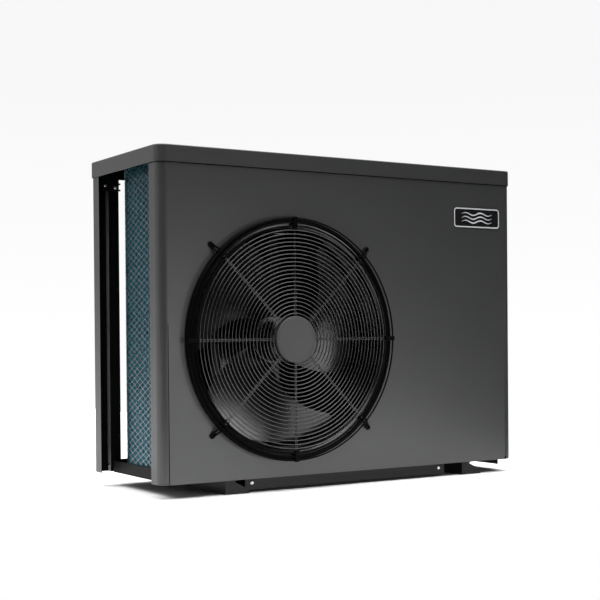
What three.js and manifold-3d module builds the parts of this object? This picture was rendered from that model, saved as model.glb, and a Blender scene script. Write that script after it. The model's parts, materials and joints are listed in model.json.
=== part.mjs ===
// Outdoor pool heat pump: a folded sheet-metal casing with a front fan, a finned coil bent round
// the rear left corner, and the refrigerant and water circuits in the right-hand compartment.
// Millimetres, +Z up, front towards -Y. Sub-parts are placed in the casing's own frame, whose
// origin is on the floor under the middle of the casing. The exported group moves that frame so
// that its origin is the bottom centre of the whole unit.
import * as THREE from "three";
import { mergeVertices } from "three/addons/utils/BufferGeometryUtils.js";
import Module from "manifold-3d";

const wasm = await Module();
wasm.setup();

// Casing
const CASING = { width: 950, depth: 330, top: 721 };
const SHEET = 1.5;
const GAP = 0.4;
const LID = { height: 35, overhang: 2.5, backR: 3 };
const CORNER_R = 20;
const PANEL_BOTTOM = 30;
const PANEL_TOP = 712;
const PANEL_RETURN = 43;
const PAN = { bottom: 30.4, height: 25, inset: 2, leftInset: 29 };
const SIDE_FLANGE = 26;
const SKIRT = { bottom: 12, start: 53 };

// Faces of the panels that stand inside the lid's edge
const LEFT = -CASING.width / 2 + LID.overhang;
const RIGHT = CASING.width / 2 - LID.overhang;
const FRONT = -CASING.depth / 2 + LID.overhang;
const BACK = CASING.depth / 2 - LID.overhang;
const INNER_TOP = 684;

// Feet and rails
const FOOT = { webX: 320, width: 57, web: 3, lip: 8, shoulder: 15, front: -157, back: 160 };
const SLOT = { width: 11, length: 24, fromEnd: 30 };
const RAIL = { half: 270, setBack: 10, bottom: 6, flange: 26 };

// Fan, guard and bell mouth, all on the fan's axis
const FAN = { x: -156, z: 323, tip: 225, hub: 54, front: -92, back: -62, blades: 3 };
const BLADE = { rootY: -78, tipY: -101, rootPitch: 14, tipPitch: 33, thick: 3, crown: 6 };
const BLADE_EDGES = { rootLow: -42, tipLow: -20, rootHigh: 15, tipHigh: 73 };
const OPENING_R = 248;
const BELL = { rim: 259, front: -172, mouth: 250, throat: 232, bend: 24, wall: 2, end: -80 };
const GUARD = { outer: 258.5, wire: 3.4, face: -178.5, hookR: 286, rings: [258.5, 206, 153, 100] };
const HUB_PLATE = { radius: 50, front: -182.5, depth: 16 };
const SHAFT_R = 6;
const MOTOR = { radius: 50, front: -56, back: 32, flange: 70 };

// Coil, bent round the rear left corner
const COIL = { inset: 37, bend: 70, thick: 38, front: -114, end: 165, bottom: 35.5, top: 706 };
const COIL_BACK = CASING.depth / 2 - LID.overhang - COIL.inset;
const COIL_PORTS = { liquid: 120, gas: 345 };
const PIPE_R = 6;
const PIPE_Y = COIL_BACK - COIL.thick / 2;
const COIL_GUARD = { inset: 35, bend: 72, thick: 1.5, end: 160, bottom: 37.5, top: 706 };

// Rear left post
const POST = { side: 32, flange: 30, step: 16, inner: 25.5, bottom: 30 };

// Right-hand compartment
const PARTITION_X = 176;
const COMPRESSOR = { x: 262, y: -62, radius: 60, bottom: 58, top: 330 };
const ACCUMULATOR = { x: 262, y: 62, radius: 30, bottom: 96, top: 300 };
const EXCHANGER = { x: 375, y: 40, radius: 68, bottom: 84, top: 520 };
const VALVE = { x: 250, y: -30, z: 430, radius: 17, length: 110 };
const EXPANSION = { x: 205, y: 100, z: 220 };
const ELECTRICS = { x0: 184, x1: 440, y0: -154, y1: 110, z0: 556, z1: 660 };

// Water connections for 50 mm pipe, on the rear panel
const WATER = { x: 375, inletZ: 150, outletZ: 450, bore: 25.1, tube: 30, collar: 34, nut: 45, end: 236 };

// Fittings on the right side panel
const CONTROL = { y: -20, z: 590, width: 116, height: 96, depth: 15, wall: 2.5 };
const BUTTON = { radius: 5.5, clearance: 0.5, pitch: 24, drop: 30, proud: 1.6, length: 9 };
const COVER = { pinR: 2, pinClear: 0.3, thick: 2.2 };
const GAUGE = { y: 92, z: 590, radius: 27, depth: 15, wall: 2.5 };
const SERVICE = { y0: -70, y1: 110, z0: 180, z1: 400, depth: 2 };

// Rear gland for the supply cable, and the pan's drain
const GLAND = { x: 230, z: 120, hole: 8, body: 12, nut: 15, end: 192 };
const DRAIN = { x: -60, y: 60, bore: 8, outer: 11, bottom: 12 };
const BADGE = { x: 364, z: 604, width: 140, height: 47, thick: 2 };

const paint = (color, roughness = 0.45, metalness = 0.3) =>
  new THREE.MeshStandardMaterial({ color, roughness, metalness });
const anthracite = () => paint(0x4a4b4c);
const blackSheet = () => paint(0x141415, 0.4);
const galvanised = () => paint(0x9ba0a3, 0.4, 0.8);
const copper = () => paint(0xb4703c, 0.35, 0.9);
const plastic = (color) => paint(color, 0.5, 0);

// Geometry helpers ---------------------------------------------------------------------------

// A closed geometry as a solid that can be joined and cut.
function solid(geometry) {
  const bare = geometry.clone();
  bare.deleteAttribute("normal");
  bare.deleteAttribute("uv");
  const merged = mergeVertices(bare, 1e-4);
  return new wasm.Manifold(
    new wasm.Mesh({
      numProp: 3,
      vertProperties: merged.attributes.position.array,
      triVerts: new Uint32Array(merged.index.array),
    }),
  );
}

function geometryOf(made) {
  const mesh = made.getMesh();
  const geometry = new THREE.BufferGeometry();
  geometry.setAttribute("position", new THREE.BufferAttribute(mesh.vertProperties, 3));
  geometry.setIndex(new THREE.BufferAttribute(mesh.triVerts, 1));
  return geometry;
}

const join = (...geometries) =>
  geometryOf(geometries.map(solid).reduce((all, one) => all.add(one)));

const cut = (body, ...tools) =>
  geometryOf(tools.map(solid).reduce((left, tool) => left.subtract(tool), solid(body)));

// A block between two corners.
function block(x0, x1, y0, y1, z0, z1) {
  const box = new THREE.BoxGeometry(x1 - x0, y1 - y0, z1 - z0);
  return box.translate((x0 + x1) / 2, (y0 + y1) / 2, (z0 + z1) / 2);
}

const outline = (points) => new THREE.Shape(points.map(([x, y]) => new THREE.Vector2(x, y)));

const extrude = (shape, depth) =>
  new THREE.ExtrudeGeometry(shape, { depth, bevelEnabled: false, curveSegments: 3 });

// A plan outline (X, Y) raised from z0 to z1.
const risen = (shape, z0, z1) => extrude(shape, z1 - z0).translate(0, 0, z0);

// A section (X, Z) drawn out along Y.
const alongY = (shape, y0, y1) => extrude(shape, y1 - y0).rotateX(Math.PI / 2).translate(0, y1, 0);

// A section (Y, Z) drawn out along X.
function alongX(shape, x0, x1) {
  const turn = new THREE.Matrix4().makeBasis(
    new THREE.Vector3(0, 1, 0),
    new THREE.Vector3(0, 0, 1),
    new THREE.Vector3(1, 0, 0),
  );
  return extrude(shape, x1 - x0).applyMatrix4(turn).translate(x0, 0, 0);
}

// A rectangle with round corners. Those at y1 can have a radius of their own.
function roundedShape(x0, x1, y0, y1, r, far = r) {
  const shape = new THREE.Shape();
  shape.absarc(x1 - r, y0 + r, r, -Math.PI / 2, 0);
  shape.absarc(x1 - far, y1 - far, far, 0, Math.PI / 2);
  shape.absarc(x0 + far, y1 - far, far, Math.PI / 2, Math.PI);
  shape.absarc(x0 + r, y0 + r, r, Math.PI, 1.5 * Math.PI);
  return shape;
}

// A profile of (radius, height) turned round the Y axis, whichever way it was drawn.
function turned(profile, segments) {
  const points = profile.map(([r, y]) => new THREE.Vector2(r, y));
  if (THREE.ShapeUtils.area(points) < 0) points.reverse();
  return new THREE.LatheGeometry(points, segments);
}

// A ring or a disc with its axis along Y. A ring's profile closes on itself.
const ringProfile = (inner, outer, y0, y1) => [
  [inner, y0],
  [outer, y0],
  [outer, y1],
  [inner, y1],
  [inner, y0],
];
const ringY = (inner, outer, y0, y1, segments = 24) =>
  turned(ringProfile(inner, outer, y0, y1), segments);
const discProfile = (radius, y0, y1) => [
  [0, y0],
  [radius, y0],
  [radius, y1],
  [0, y1],
];
const discY = (radius, y0, y1, segments = 24) => turned(discProfile(radius, y0, y1), segments);
const standing = (geometry) => geometry.rotateX(Math.PI / 2);
const discZ = (radius, z0, z1, segments = 24) => standing(discY(radius, z0, z1, segments));
const facingX = (geometry) => geometry.rotateZ(-Math.PI / 2);
const discX = (radius, x0, x1, segments = 24) => facingX(discY(radius, x0, x1, segments));

// A round tube along a curve through the given points.
function pipe(points, radius, steps) {
  const section = new THREE.Shape();
  section.absarc(0, 0, radius, 0, 2 * Math.PI);
  const route = new THREE.CatmullRomCurve3(
    points.map((p) => new THREE.Vector3(...p)),
    false,
    "catmullrom",
    0.35,
  );
  return new THREE.ExtrudeGeometry(section, { extrudePath: route, steps, curveSegments: 4 });
}

const casing = new THREE.Group();

function place(name, geometry, material, x = 0, y = 0, z = 0) {
  const mesh = new THREE.Mesh(geometry, material);
  mesh.name = name;
  mesh.position.set(x, y, z);
  casing.add(mesh);
}

// Casing -------------------------------------------------------------------------------------

// The front sheet in plan: the face, its two round corners and its two returns.
function frontPanelPlan() {
  const end = FRONT + PANEL_RETURN;
  const r = CORNER_R;
  const inner = CORNER_R - SHEET;
  const shape = new THREE.Shape();
  shape.moveTo(LEFT, end);
  shape.absarc(LEFT + r, FRONT + r, r, Math.PI, 1.5 * Math.PI);
  shape.absarc(RIGHT - r, FRONT + r, r, 1.5 * Math.PI, 2 * Math.PI);
  shape.lineTo(RIGHT, end);
  shape.lineTo(RIGHT - SHEET, end);
  shape.absarc(RIGHT - r, FRONT + r, inner, 0, -Math.PI / 2, true);
  shape.absarc(LEFT + r, FRONT + r, inner, -Math.PI / 2, -Math.PI, true);
  shape.lineTo(LEFT + SHEET, end);
  return shape;
}

function frontPanel() {
  const sheet = risen(frontPanelPlan(), PANEL_BOTTOM, PANEL_TOP);
  const hole = discY(OPENING_R, FRONT - SHEET, FRONT + 2 * SHEET, 64).translate(FAN.x, 0, FAN.z);
  return cut(sheet, hole);
}

function topLid() {
  const w = CASING.width / 2;
  const d = CASING.depth / 2;
  const r = CORNER_R + LID.overhang;
  const far = LID.backR;
  const outer = risen(roundedShape(-w, w, -d, d, r, far), CASING.top - LID.height, CASING.top);
  const t = SHEET;
  const inside = roundedShape(-w + t, w - t, -d + t, d - t, r - t, far - t);
  const hollow = risen(inside, CASING.top - LID.height - SHEET, CASING.top - SHEET);
  return cut(outer, hollow);
}

// The rear left post in plan: a side face, then a rear flange that steps forward.
function rearLeftPost() {
  const t = SHEET;
  const bend = LEFT + POST.flange;
  const ledge = BACK - POST.step;
  const plan = outline([
    [LEFT, BACK - POST.side],
    [LEFT, BACK],
    [bend + t, BACK],
    [bend + t, ledge + t],
    [bend + POST.inner, ledge + t],
    [bend + POST.inner, ledge],
    [bend, ledge],
    [bend, BACK - t],
    [LEFT + t, BACK - t],
    [LEFT + t, BACK - POST.side],
  ]);
  return risen(plan, POST.bottom, PANEL_TOP);
}

// A black plate over the top of the post's step, with two small tabs towards the coil.
function postBracket() {
  const tab = 4;
  const x0 = LEFT + POST.flange - 14;
  const x1 = LEFT + POST.flange + POST.inner;
  const y1 = BACK - POST.step - GAP;
  const plate = block(x0, x1, y1 - SHEET, y1, 658, PANEL_TOP);
  const upper = block(x1 - 1, x1 + tab, y1 - SHEET, y1, 672, 676);
  const lower = block(x1 - 1, x1 + tab, y1 - SHEET, y1, 658, 662);
  return join(plate, upper, lower);
}

// The right side sheet in plan: the side and its rear flange. Its lower edge hangs below the pan.
function rightSidePanel() {
  const flange = SIDE_FLANGE;
  const t = SHEET;
  const start = FRONT + PANEL_RETURN + GAP;
  const plan = outline([
    [RIGHT, start],
    [RIGHT, BACK],
    [RIGHT - flange, BACK],
    [RIGHT - flange, BACK - t],
    [RIGHT - t, BACK - t],
    [RIGHT - t, start],
  ]);
  const sheet = risen(plan, SKIRT.bottom, PANEL_TOP);
  const notchEnd = -CASING.depth / 2 + SKIRT.start;
  const notch = block(RIGHT - 9, RIGHT + 9, start - 9, notchEnd, SKIRT.bottom - 9, PANEL_BOTTOM);
  return cut(sheet, notch);
}

// The rear sheet in plan: the back, and a flange that runs forward along the coil's end plate.
function rearPanel() {
  const x0 = COIL.end + 4;
  const x1 = RIGHT - SIDE_FLANGE - GAP;
  const t = SHEET;
  const plan = outline([
    [x0, COIL_BACK - COIL.thick],
    [x0 + t, COIL_BACK - COIL.thick],
    [x0 + t, BACK - t],
    [x1, BACK - t],
    [x1, BACK],
    [x0, BACK],
  ]);
  const hole = (x, z, r) => discY(r, BACK - 9, BACK + 9, 20).translate(x, 0, z);
  const pipeHole = (z) => discX(PIPE_R + 3, x0 - 9, x0 + 9, 12).translate(0, PIPE_Y, z);
  return cut(
    risen(plan, PAN.bottom + PAN.height + GAP, PANEL_TOP),
    hole(WATER.x, WATER.inletZ, WATER.tube + 2),
    hole(WATER.x, WATER.outletZ, WATER.tube + 2),
    hole(GLAND.x, GLAND.z, GLAND.hole + 1),
    pipeHole(COIL_PORTS.liquid),
    pipeHole(COIL_PORTS.gas),
  );
}

// The pan in plan, drawn in by the thickness of its wall or by none, with a notch for the rear post.
function panPlan(wall) {
  const inset = PAN.inset + wall;
  const left = LEFT + PAN.leftInset + wall;
  const notchX = LEFT + POST.flange + POST.inner + inset;
  const notchY = BACK - POST.step - inset;
  const r = CORNER_R;
  const shape = new THREE.Shape();
  shape.absarc(left + r, FRONT + inset + r, r, Math.PI, 1.5 * Math.PI);
  shape.absarc(RIGHT - inset - r, FRONT + inset + r, r, 1.5 * Math.PI, 2 * Math.PI);
  shape.lineTo(RIGHT - inset, BACK - inset);
  shape.lineTo(notchX, BACK - inset);
  shape.lineTo(notchX, notchY);
  shape.absarc(left + r, notchY - r, r, Math.PI / 2, Math.PI);
  return shape;
}

function basePan() {
  const z1 = PAN.bottom + PAN.height;
  const outer = risen(panPlan(0), PAN.bottom, z1);
  const hollow = risen(panPlan(SHEET), PAN.bottom + SHEET, z1 + 1);
  const drain = discZ(DRAIN.outer - 1, PAN.bottom - 9, PAN.bottom + 9, 20);
  return cut(outer, hollow, drain.translate(DRAIN.x, DRAIN.y, 0));
}

// A foot: an upright web, a floor flange with an anchor slot near each end, a top flange, and a
// sloping gusset that closes each end.
function foot() {
  const { width, web, lip, shoulder, front, back } = FOOT;
  const top = PAN.bottom - GAP;
  const inner = 26;
  const section = outline([
    [0, 0],
    [width, 0],
    [width, web],
    [web, web],
    [web, top - web],
    [inner, top - web],
    [inner, top],
    [0, top],
  ]);
  const gusset = outline([
    [0, 0],
    [width, 0],
    [width, lip],
    [shoulder, top],
    [0, top],
  ]);
  const slot = (y) => {
    const half = SLOT.length / 2;
    const r = SLOT.width / 2;
    const x = width / 2;
    return risen(roundedShape(x - r, x + r, y - half, y + half, r - 0.01), -web, 2 * web);
  };
  const body = join(
    alongY(section, front, back),
    alongY(gusset, front, front + web),
    alongY(gusset, back - web, back),
  );
  return cut(body, slot(front + SLOT.fromEnd), slot(back - SLOT.fromEnd));
}

// A channel under the pan from foot to foot, its upright face towards the outside.
function crossRail(face, inwards) {
  const lift = PAN.bottom - GAP;
  const section = outline([
    [0, RAIL.bottom],
    [RAIL.flange, RAIL.bottom],
    [RAIL.flange, RAIL.bottom + SHEET],
    [SHEET, RAIL.bottom + SHEET],
    [SHEET, lift],
    [0, lift],
  ]);
  const rail = alongX(section, -RAIL.half, RAIL.half);
  if (inwards < 0) rail.rotateZ(Math.PI);
  return rail.translate(0, face, 0);
}

// Air side -----------------------------------------------------------------------------------

// The black ring that stands on the panel round its hole and rolls inwards to a straight throat.
function bellMouth() {
  const { rim, front, mouth, throat, bend, wall, end } = BELL;
  const seat = FRONT - GAP;
  const roll = (from, extra) => {
    const steps = 4;
    return Array.from({ length: steps + 1 }, (_, i) => {
      const a = THREE.MathUtils.lerp(from, Math.PI / 2, i / steps);
      const radius = mouth - (mouth - throat) * Math.sin(a) + extra;
      return [radius, front + bend * (1 - Math.cos(a))];
    });
  };
  const behind = Math.acos(1 - (seat - front) / bend);
  const profile = [
    [rim, seat],
    [rim, front + 4],
    [rim - 2, front + 1],
    ...roll(0, 0),
    [throat, end],
    [throat + wall, end],
    ...roll(behind, wall).reverse(),
    [rim, seat],
  ];
  return turned(profile, 36);
}

// Wire rings on spokes, with four hooks that reach back to the panel.
function fanGuard() {
  const w = GUARD.wire / 2;
  const rings = GUARD.rings.map((r) => ringY(r - w, r + w, GUARD.face - w, GUARD.face + w, 32));
  const spokeFrom = HUB_PLATE.radius + GAP;
  const turnedTo = (geometry, angle) => geometry.rotateY(-angle);
  const spokes = Array.from({ length: 8 }, (_, i) =>
    turnedTo(
      block(spokeFrom, GUARD.outer, GUARD.face, GUARD.face + 3, -w, w),
      (i * Math.PI) / 4,
    ),
  );
  const hooks = Array.from({ length: 4 }, (_, i) =>
    turnedTo(
      join(
        block(GUARD.outer - 8, GUARD.outer + 8, GUARD.face - w, GUARD.face + 4, -4, 4),
        block(GUARD.outer + 4, GUARD.hookR, FRONT - GAP - 4, FRONT - GAP, -6, 6),
        block(GUARD.outer + 4, GUARD.outer + 8, GUARD.face - w, FRONT - GAP, -4, 4),
      ),
      ((2 * i + 1) * Math.PI) / 4,
    ),
  );
  return join(...rings, ...spokes, ...hooks);
}

function hubPlate() {
  const { radius, front, depth } = HUB_PLATE;
  return turned(
    [
      [0, front + 1.5],
      [radius - 5, front + 1.5],
      [radius - 3, front],
      [radius - 1, front + 1],
      [radius, front + depth],
      [0, front + depth],
    ],
    40,
  );
}

// One blade as a thin twisted plate between two edges that sweep round towards the tip. The upper
// edge is nearer the front.
function blade() {
  const { rootLow, tipLow, rootHigh, tipHigh } = BLADE_EDGES;
  const across = 6;
  const outwards = 6;
  const rootR = FAN.hub - 8;
  const { lerp, degToRad } = THREE.MathUtils;
  const positions = [];
  for (const side of [0, 1]) {
    for (let i = 0; i <= outwards; i += 1) {
      const u = i / outwards;
      const r = lerp(rootR, FAN.tip, u);
      const low = degToRad(lerp(rootLow, tipLow, u));
      const high = degToRad(lerp(rootHigh, tipHigh, u));
      const middle = lerp(BLADE.rootY, BLADE.tipY, u);
      const pitch = lerp(BLADE.rootPitch, BLADE.tipPitch, Math.sqrt(u));
      for (let j = 0; j <= across; j += 1) {
        const v = (2 * j) / across - 1;
        const angle = lerp(low, high, j / across);
        const crown = BLADE.crown * (1 - v * v);
        const y = middle - pitch * v + crown + (side - 0.5) * BLADE.thick;
        positions.push(r * Math.cos(angle), y, r * Math.sin(angle));
      }
    }
  }
  const row = across + 1;
  const layer = row * (outwards + 1);
  const index = [];
  const quad = (a, b, c, d) => index.push(a, b, c, a, c, d);
  for (let i = 0; i < outwards; i += 1) {
    for (let j = 0; j < across; j += 1) {
      const a = i * row + j;
      quad(a, a + row, a + row + 1, a + 1);
      quad(layer + a, layer + a + 1, layer + a + row + 1, layer + a + row);
    }
  }
  for (let i = 0; i < outwards; i += 1) {
    const low = i * row;
    const high = low + across;
    quad(low, layer + low, layer + low + row, low + row);
    quad(high, high + row, layer + high + row, layer + high);
  }
  for (let j = 0; j < across; j += 1) {
    const tip = outwards * row + j;
    quad(j, j + 1, layer + j + 1, layer + j);
    quad(tip, layer + tip, layer + tip + 1, tip + 1);
  }
  const geometry = new THREE.BufferGeometry();
  geometry.setAttribute("position", new THREE.Float32BufferAttribute(positions, 3));
  geometry.setIndex(index);
  return geometry;
}

function fanRotor() {
  const hub = turned(
    [
      [SHAFT_R + GAP, FAN.front],
      [FAN.hub - 5, FAN.front],
      [FAN.hub, FAN.front + 5],
      [FAN.hub, FAN.back],
      [SHAFT_R + GAP, FAN.back],
      [SHAFT_R + GAP, FAN.front],
    ],
    30,
  );
  const blades = Array.from({ length: FAN.blades }, (_, i) =>
    blade().rotateY((-i * 2 * Math.PI) / FAN.blades),
  );
  return join(hub, ...blades);
}

function fanNut() {
  const seat = FAN.front - GAP;
  const hex = discY(11, seat - 8, seat, 6);
  return cut(hex, discY(SHAFT_R + GAP, seat - 12, seat + 4, 20));
}

// The motor: a round body on a square flange, with a bore at the front for its shaft.
function fanMotor() {
  const { radius, front, back, flange } = MOTOR;
  const body = turned(
    [
      [0, front],
      [radius - 14, front],
      [radius, front + 12],
      [radius, back],
      [0, back],
    ],
    28,
  );
  const plate = block(-flange, flange, back - 3, back, -flange, flange);
  const clearance = 0.08;
  const segments = 24;
  const boreR = (SHAFT_R + clearance) / Math.cos(Math.PI / segments);
  return cut(join(body, plate), discY(boreR, front - 9, front + 40, segments));
}

const motorShaft = () => discY(SHAFT_R, FAN.front - 14, MOTOR.front + 36, 24);

function motorBracket() {
  const y0 = MOTOR.back + GAP;
  const y1 = y0 + 2;
  const out = MOTOR.flange + 8;
  const strip = (x) => block(x - 12, x + 12, y0, y1, COIL.bottom, INNER_TOP);
  const strap = (z) => block(-out, out, y0, y1, z - 14, z + 14);
  const uprights = [strip(-out), strip(out)];
  const straps = [strap(FAN.z - MOTOR.flange), strap(FAN.z + MOTOR.flange)];
  return join(...uprights, ...straps);
}

// The plan of a sheet or block that runs along the left end, round the bend and along the back.
function bentPlan(inset, bend, thick, front, end) {
  const x = LEFT + inset;
  const y = BACK - inset;
  const shape = new THREE.Shape();
  shape.moveTo(x, front);
  shape.lineTo(x + thick, front);
  shape.absarc(x + bend, y - bend, bend - thick, Math.PI, Math.PI / 2, true);
  shape.lineTo(end, y - thick);
  shape.lineTo(end, y);
  shape.absarc(x + bend, y - bend, bend, Math.PI / 2, Math.PI);
  return shape;
}

function coil() {
  const plan = bentPlan(COIL.inset, COIL.bend, COIL.thick, COIL.front, COIL.end);
  return risen(plan, COIL.bottom, COIL.top);
}

function coilEndPlateFront() {
  const x = LEFT + COIL.inset;
  const y = COIL.front - GAP;
  return block(x - 1, x + COIL.thick + 1, y - SHEET, y, COIL.bottom, COIL.top);
}

function coilEndPlateRight() {
  const x = COIL.end + GAP;
  return block(x, x + SHEET, COIL_BACK - COIL.thick - 1, COIL_BACK + 1, COIL.bottom, COIL.top);
}

// The expanded-metal guard, with coarse diamonds in place of its fine mesh.
function coilGuard() {
  const { inset, bend, thick, end, bottom, top } = COIL_GUARD;
  const sheet = risen(bentPlan(inset, bend, thick, COIL.front, end), bottom, top);
  const rows = 5;
  const pitch = (top - bottom) / rows;
  const halfH = pitch / 2 - 6;
  const halfW = 30;
  const diamond = (u, z) =>
    outline([
      [u - halfW, z],
      [u, z - halfH],
      [u + halfW, z],
      [u, z + halfH],
    ]);
  const x = LEFT + inset;
  const y = BACK - inset;
  const holes = [];
  for (let row = 0; row < rows; row += 1) {
    const z = bottom + pitch * (row + 0.5);
    for (const u of [-66, 6]) holes.push(alongX(diamond(u, z), x - 9, x + 9));
    for (const u of [-310, -225, -140, -55, 30, 115]) {
      holes.push(alongY(diamond(u, z), y - 9, y + 9));
    }
  }
  return cut(sheet, ...holes);
}

// Right-hand compartment ---------------------------------------------------------------------

// The upright sheet between the fan's chamber and the right-hand compartment.
function partition() {
  const back = COIL_BACK - COIL.thick - 4;
  const floor = PAN.bottom + PAN.height + 2;
  return block(PARTITION_X, PARTITION_X + SHEET, FRONT + 8, back, floor, INNER_TOP);
}

function compressor() {
  const { radius, bottom, top } = COMPRESSOR;
  const shell = standing(
    turned(
      [
        [0, bottom + 12],
        [radius - 10, bottom + 14],
        [radius, bottom + 26],
        [radius, top - 30],
        [radius - 16, top - 8],
        [10, top],
        [0, top],
      ],
      28,
    ),
  );
  const foot = outline(
    [0, 1, 2].flatMap((i) => {
      const a = (i * 2 * Math.PI) / 3 + Math.PI / 6;
      return [-0.22, 0.22].map((d) => [88 * Math.cos(a + d), 88 * Math.sin(a + d)]);
    }),
  );
  return join(shell, risen(foot, bottom + 8, bottom + 14));
}

function grommet(i) {
  const a = (i * 2 * Math.PI) / 3 + Math.PI / 6;
  const floor = PAN.bottom + SHEET + GAP;
  const shape = discZ(11, floor, COMPRESSOR.bottom + 8 - GAP, 16);
  return shape.translate(76 * Math.cos(a), 76 * Math.sin(a), 0);
}

function accumulator() {
  const { radius, bottom, top } = ACCUMULATOR;
  return standing(
    turned(
      [
        [0, bottom],
        [radius - 10, bottom + 4],
        [radius, bottom + 16],
        [radius, top - 16],
        [radius - 10, top - 4],
        [0, top],
      ],
      20,
    ),
  );
}

// The exchanger's shell: a closed tube with capped ends and a branch for each water connection.
function exchanger() {
  const { radius, bottom, top, y } = EXCHANGER;
  const cap = 30;
  const rim = radius + 5;
  const shell = standing(
    turned(
      [
        [0, bottom],
        [rim, bottom],
        [rim, bottom + cap],
        [radius, bottom + cap],
        [radius, top - cap],
        [rim, top - cap],
        [rim, top],
        [0, top],
      ],
      28,
    ),
  );
  const reach = BACK - 30 - y;
  const branch = (z) => discY(WATER.tube + 3, 0, reach, 20).translate(0, 0, z);
  return join(shell, branch(WATER.inletZ), branch(WATER.outletZ));
}

// The threaded body that passes through the rear panel.
function unionBody() {
  const { bore, tube, collar } = WATER;
  const start = BACK - 30 + GAP;
  const seat = BACK + GAP;
  return turned(
    [
      [bore, start],
      [tube, start],
      [tube, seat],
      [collar + 6, seat],
      [collar + 6, seat + 7],
      [collar, seat + 7],
      [collar, seat + 28],
      [bore, seat + 28],
      [bore, start],
    ],
    20,
  );
}

function unionTail() {
  const { bore, tube, collar, end } = WATER;
  const start = BACK + GAP + 28 + GAP;
  return turned(
    [
      [bore, start],
      [collar, start],
      [collar, start + 6],
      [tube, start + 6],
      [tube, end],
      [bore, end],
      [bore, start],
    ],
    20,
  );
}

function unionNut() {
  const { tube, collar, nut } = WATER;
  const start = BACK + 11;
  const lip = BACK + GAP + 28 + GAP + 6 + GAP;
  const thread = collar + 0.8;
  return turned(
    [
      [thread, start],
      [nut, start],
      [nut, lip + 4],
      [nut - 3, lip + 7],
      [tube + 0.8, lip + 7],
      [tube + 0.8, lip],
      [thread, lip],
      [thread, start],
    ],
    20,
  );
}

// The reversing valve: a level barrel with one stub above and three below.
function fourWayValve() {
  const { radius, length } = VALVE;
  const barrel = discX(radius, -length / 2, length / 2, 20);
  const stub = (x, z0, z1) => discZ(6, z0, z1, 12).translate(x, 0, 0);
  return join(barrel, stub(0, 0, 34), stub(-26, -38, 0), stub(0, -38, 0), stub(26, -38, 0));
}

// The expansion valve, brazed to the pipe that comes from the exchanger.
function expansionValve() {
  const { x, y, z } = EXPANSION;
  const branch = discY(5, -26, 26, 12).translate(0, 0, -14);
  const body = join(discZ(11, -24, 6, 16), discZ(18, 6, 44, 20), branch);
  const feed = pipe(
    [
      [x, y - 24, z - 14],
      [x, y - 40, z - 14],
      [x + 8, y - 68, z - 20],
      [x + 30, y - 82, z - 28],
      [x + 60, y - 84, z - 30],
      [x + 88, y - 82, z - 30],
      [x + 100, y - 78, z - 30],
    ],
    4.5,
    18,
  );
  return join(body.translate(x, y, z), feed);
}

function dischargePipe() {
  const { x, y, top } = COMPRESSOR;
  return pipe(
    [
      [x, y, top + GAP],
      [x, y, top + 60],
      [x + 6, y - 6, VALVE.z + 40],
      [x, y + 10, VALVE.z + 62],
      [VALVE.x, VALVE.y, VALVE.z + 56],
      [VALVE.x, VALVE.y, VALVE.z + 34 + GAP],
    ],
    PIPE_R,
    18,
  );
}

function suctionPipe() {
  const { x, y, top } = ACCUMULATOR;
  return pipe(
    [
      [VALVE.x, VALVE.y, VALVE.z - 38 - GAP],
      [VALVE.x, VALVE.y, VALVE.z - 62],
      [x - 4, y - 20, top + 44],
      [x, y, top + 30],
      [x, y, top + GAP],
    ],
    PIPE_R,
    14,
  );
}

// From the reversing valve to the coil's right-hand end.
function gasPipe() {
  const x = VALVE.x - 26;
  const z = COIL_PORTS.gas;
  return pipe(
    [
      [x, VALVE.y, VALVE.z - 38 - GAP],
      [x, VALVE.y, VALVE.z - 54],
      [x - 6, VALVE.y + 20, z + 18],
      [x - 20, VALVE.y + 76, z + 6],
      [x - 32, PIPE_Y - 18, z],
      [x - 44, PIPE_Y, z],
      [COIL.end + 3, PIPE_Y, z],
    ],
    PIPE_R,
    18,
  );
}

// From the reversing valve over the compressor's side to the top of the exchanger.
function exchangerPipe() {
  const x = VALVE.x + 26;
  const { top } = EXCHANGER;
  return pipe(
    [
      [x, VALVE.y, VALVE.z - 38 - GAP],
      [x, VALVE.y, VALVE.z - 54],
      [x + 8, VALVE.y - 12, VALVE.z - 62],
      [x + 18, VALVE.y - 32, VALVE.z - 44],
      [x + 24, VALVE.y - 36, VALVE.z + 10],
      [x + 30, VALVE.y - 20, top - 20],
      [x + 44, VALVE.y + 40, top + 18],
      [EXCHANGER.x - 23, EXCHANGER.y - 10, top + 22],
      [EXCHANGER.x, EXCHANGER.y, top + 14],
      [EXCHANGER.x, EXCHANGER.y, top + GAP],
    ],
    PIPE_R,
    24,
  );
}

// From the expansion valve to the coil's right-hand end.
function liquidPipe() {
  const { x, y, z } = EXPANSION;
  const port = COIL_PORTS.liquid;
  return pipe(
    [
      [x, y + 26 + GAP, z - 14],
      [x, y + 36, z - 14],
      [x - 5, y + 42, z - 24],
      [x - 13, y + 38, port + 40],
      [x - 17, y + 20, port + 8],
      [x - 23, PIPE_Y, port],
      [COIL.end + 3, PIPE_Y, port],
    ],
    4.5,
    18,
  );
}

// A tray that is open at the top, and the plate that covers it.
function electricalBox() {
  const { x0, x1, y0, y1, z0, z1 } = ELECTRICS;
  const t = SHEET;
  const tray = block(x0, x1, y0, y1, z0, z1);
  return cut(tray, block(x0 + t, x1 - t, y0 + t, y1 - t, z0 + t, z1 + t));
}

function electricalCover() {
  const { x0, x1, y0, y1, z1 } = ELECTRICS;
  return block(x0, x1, y0, y1, z1 + GAP, z1 + GAP + SHEET);
}

function inverterBoard() {
  const { x0, x1, y0, y1, z0 } = ELECTRICS;
  const edge = 24;
  return block(x0 + edge, x1 - edge, y0 + edge, y1 - edge, z0 + 12, z0 + 34);
}

// Fittings on the right side -----------------------------------------------------------------

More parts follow.
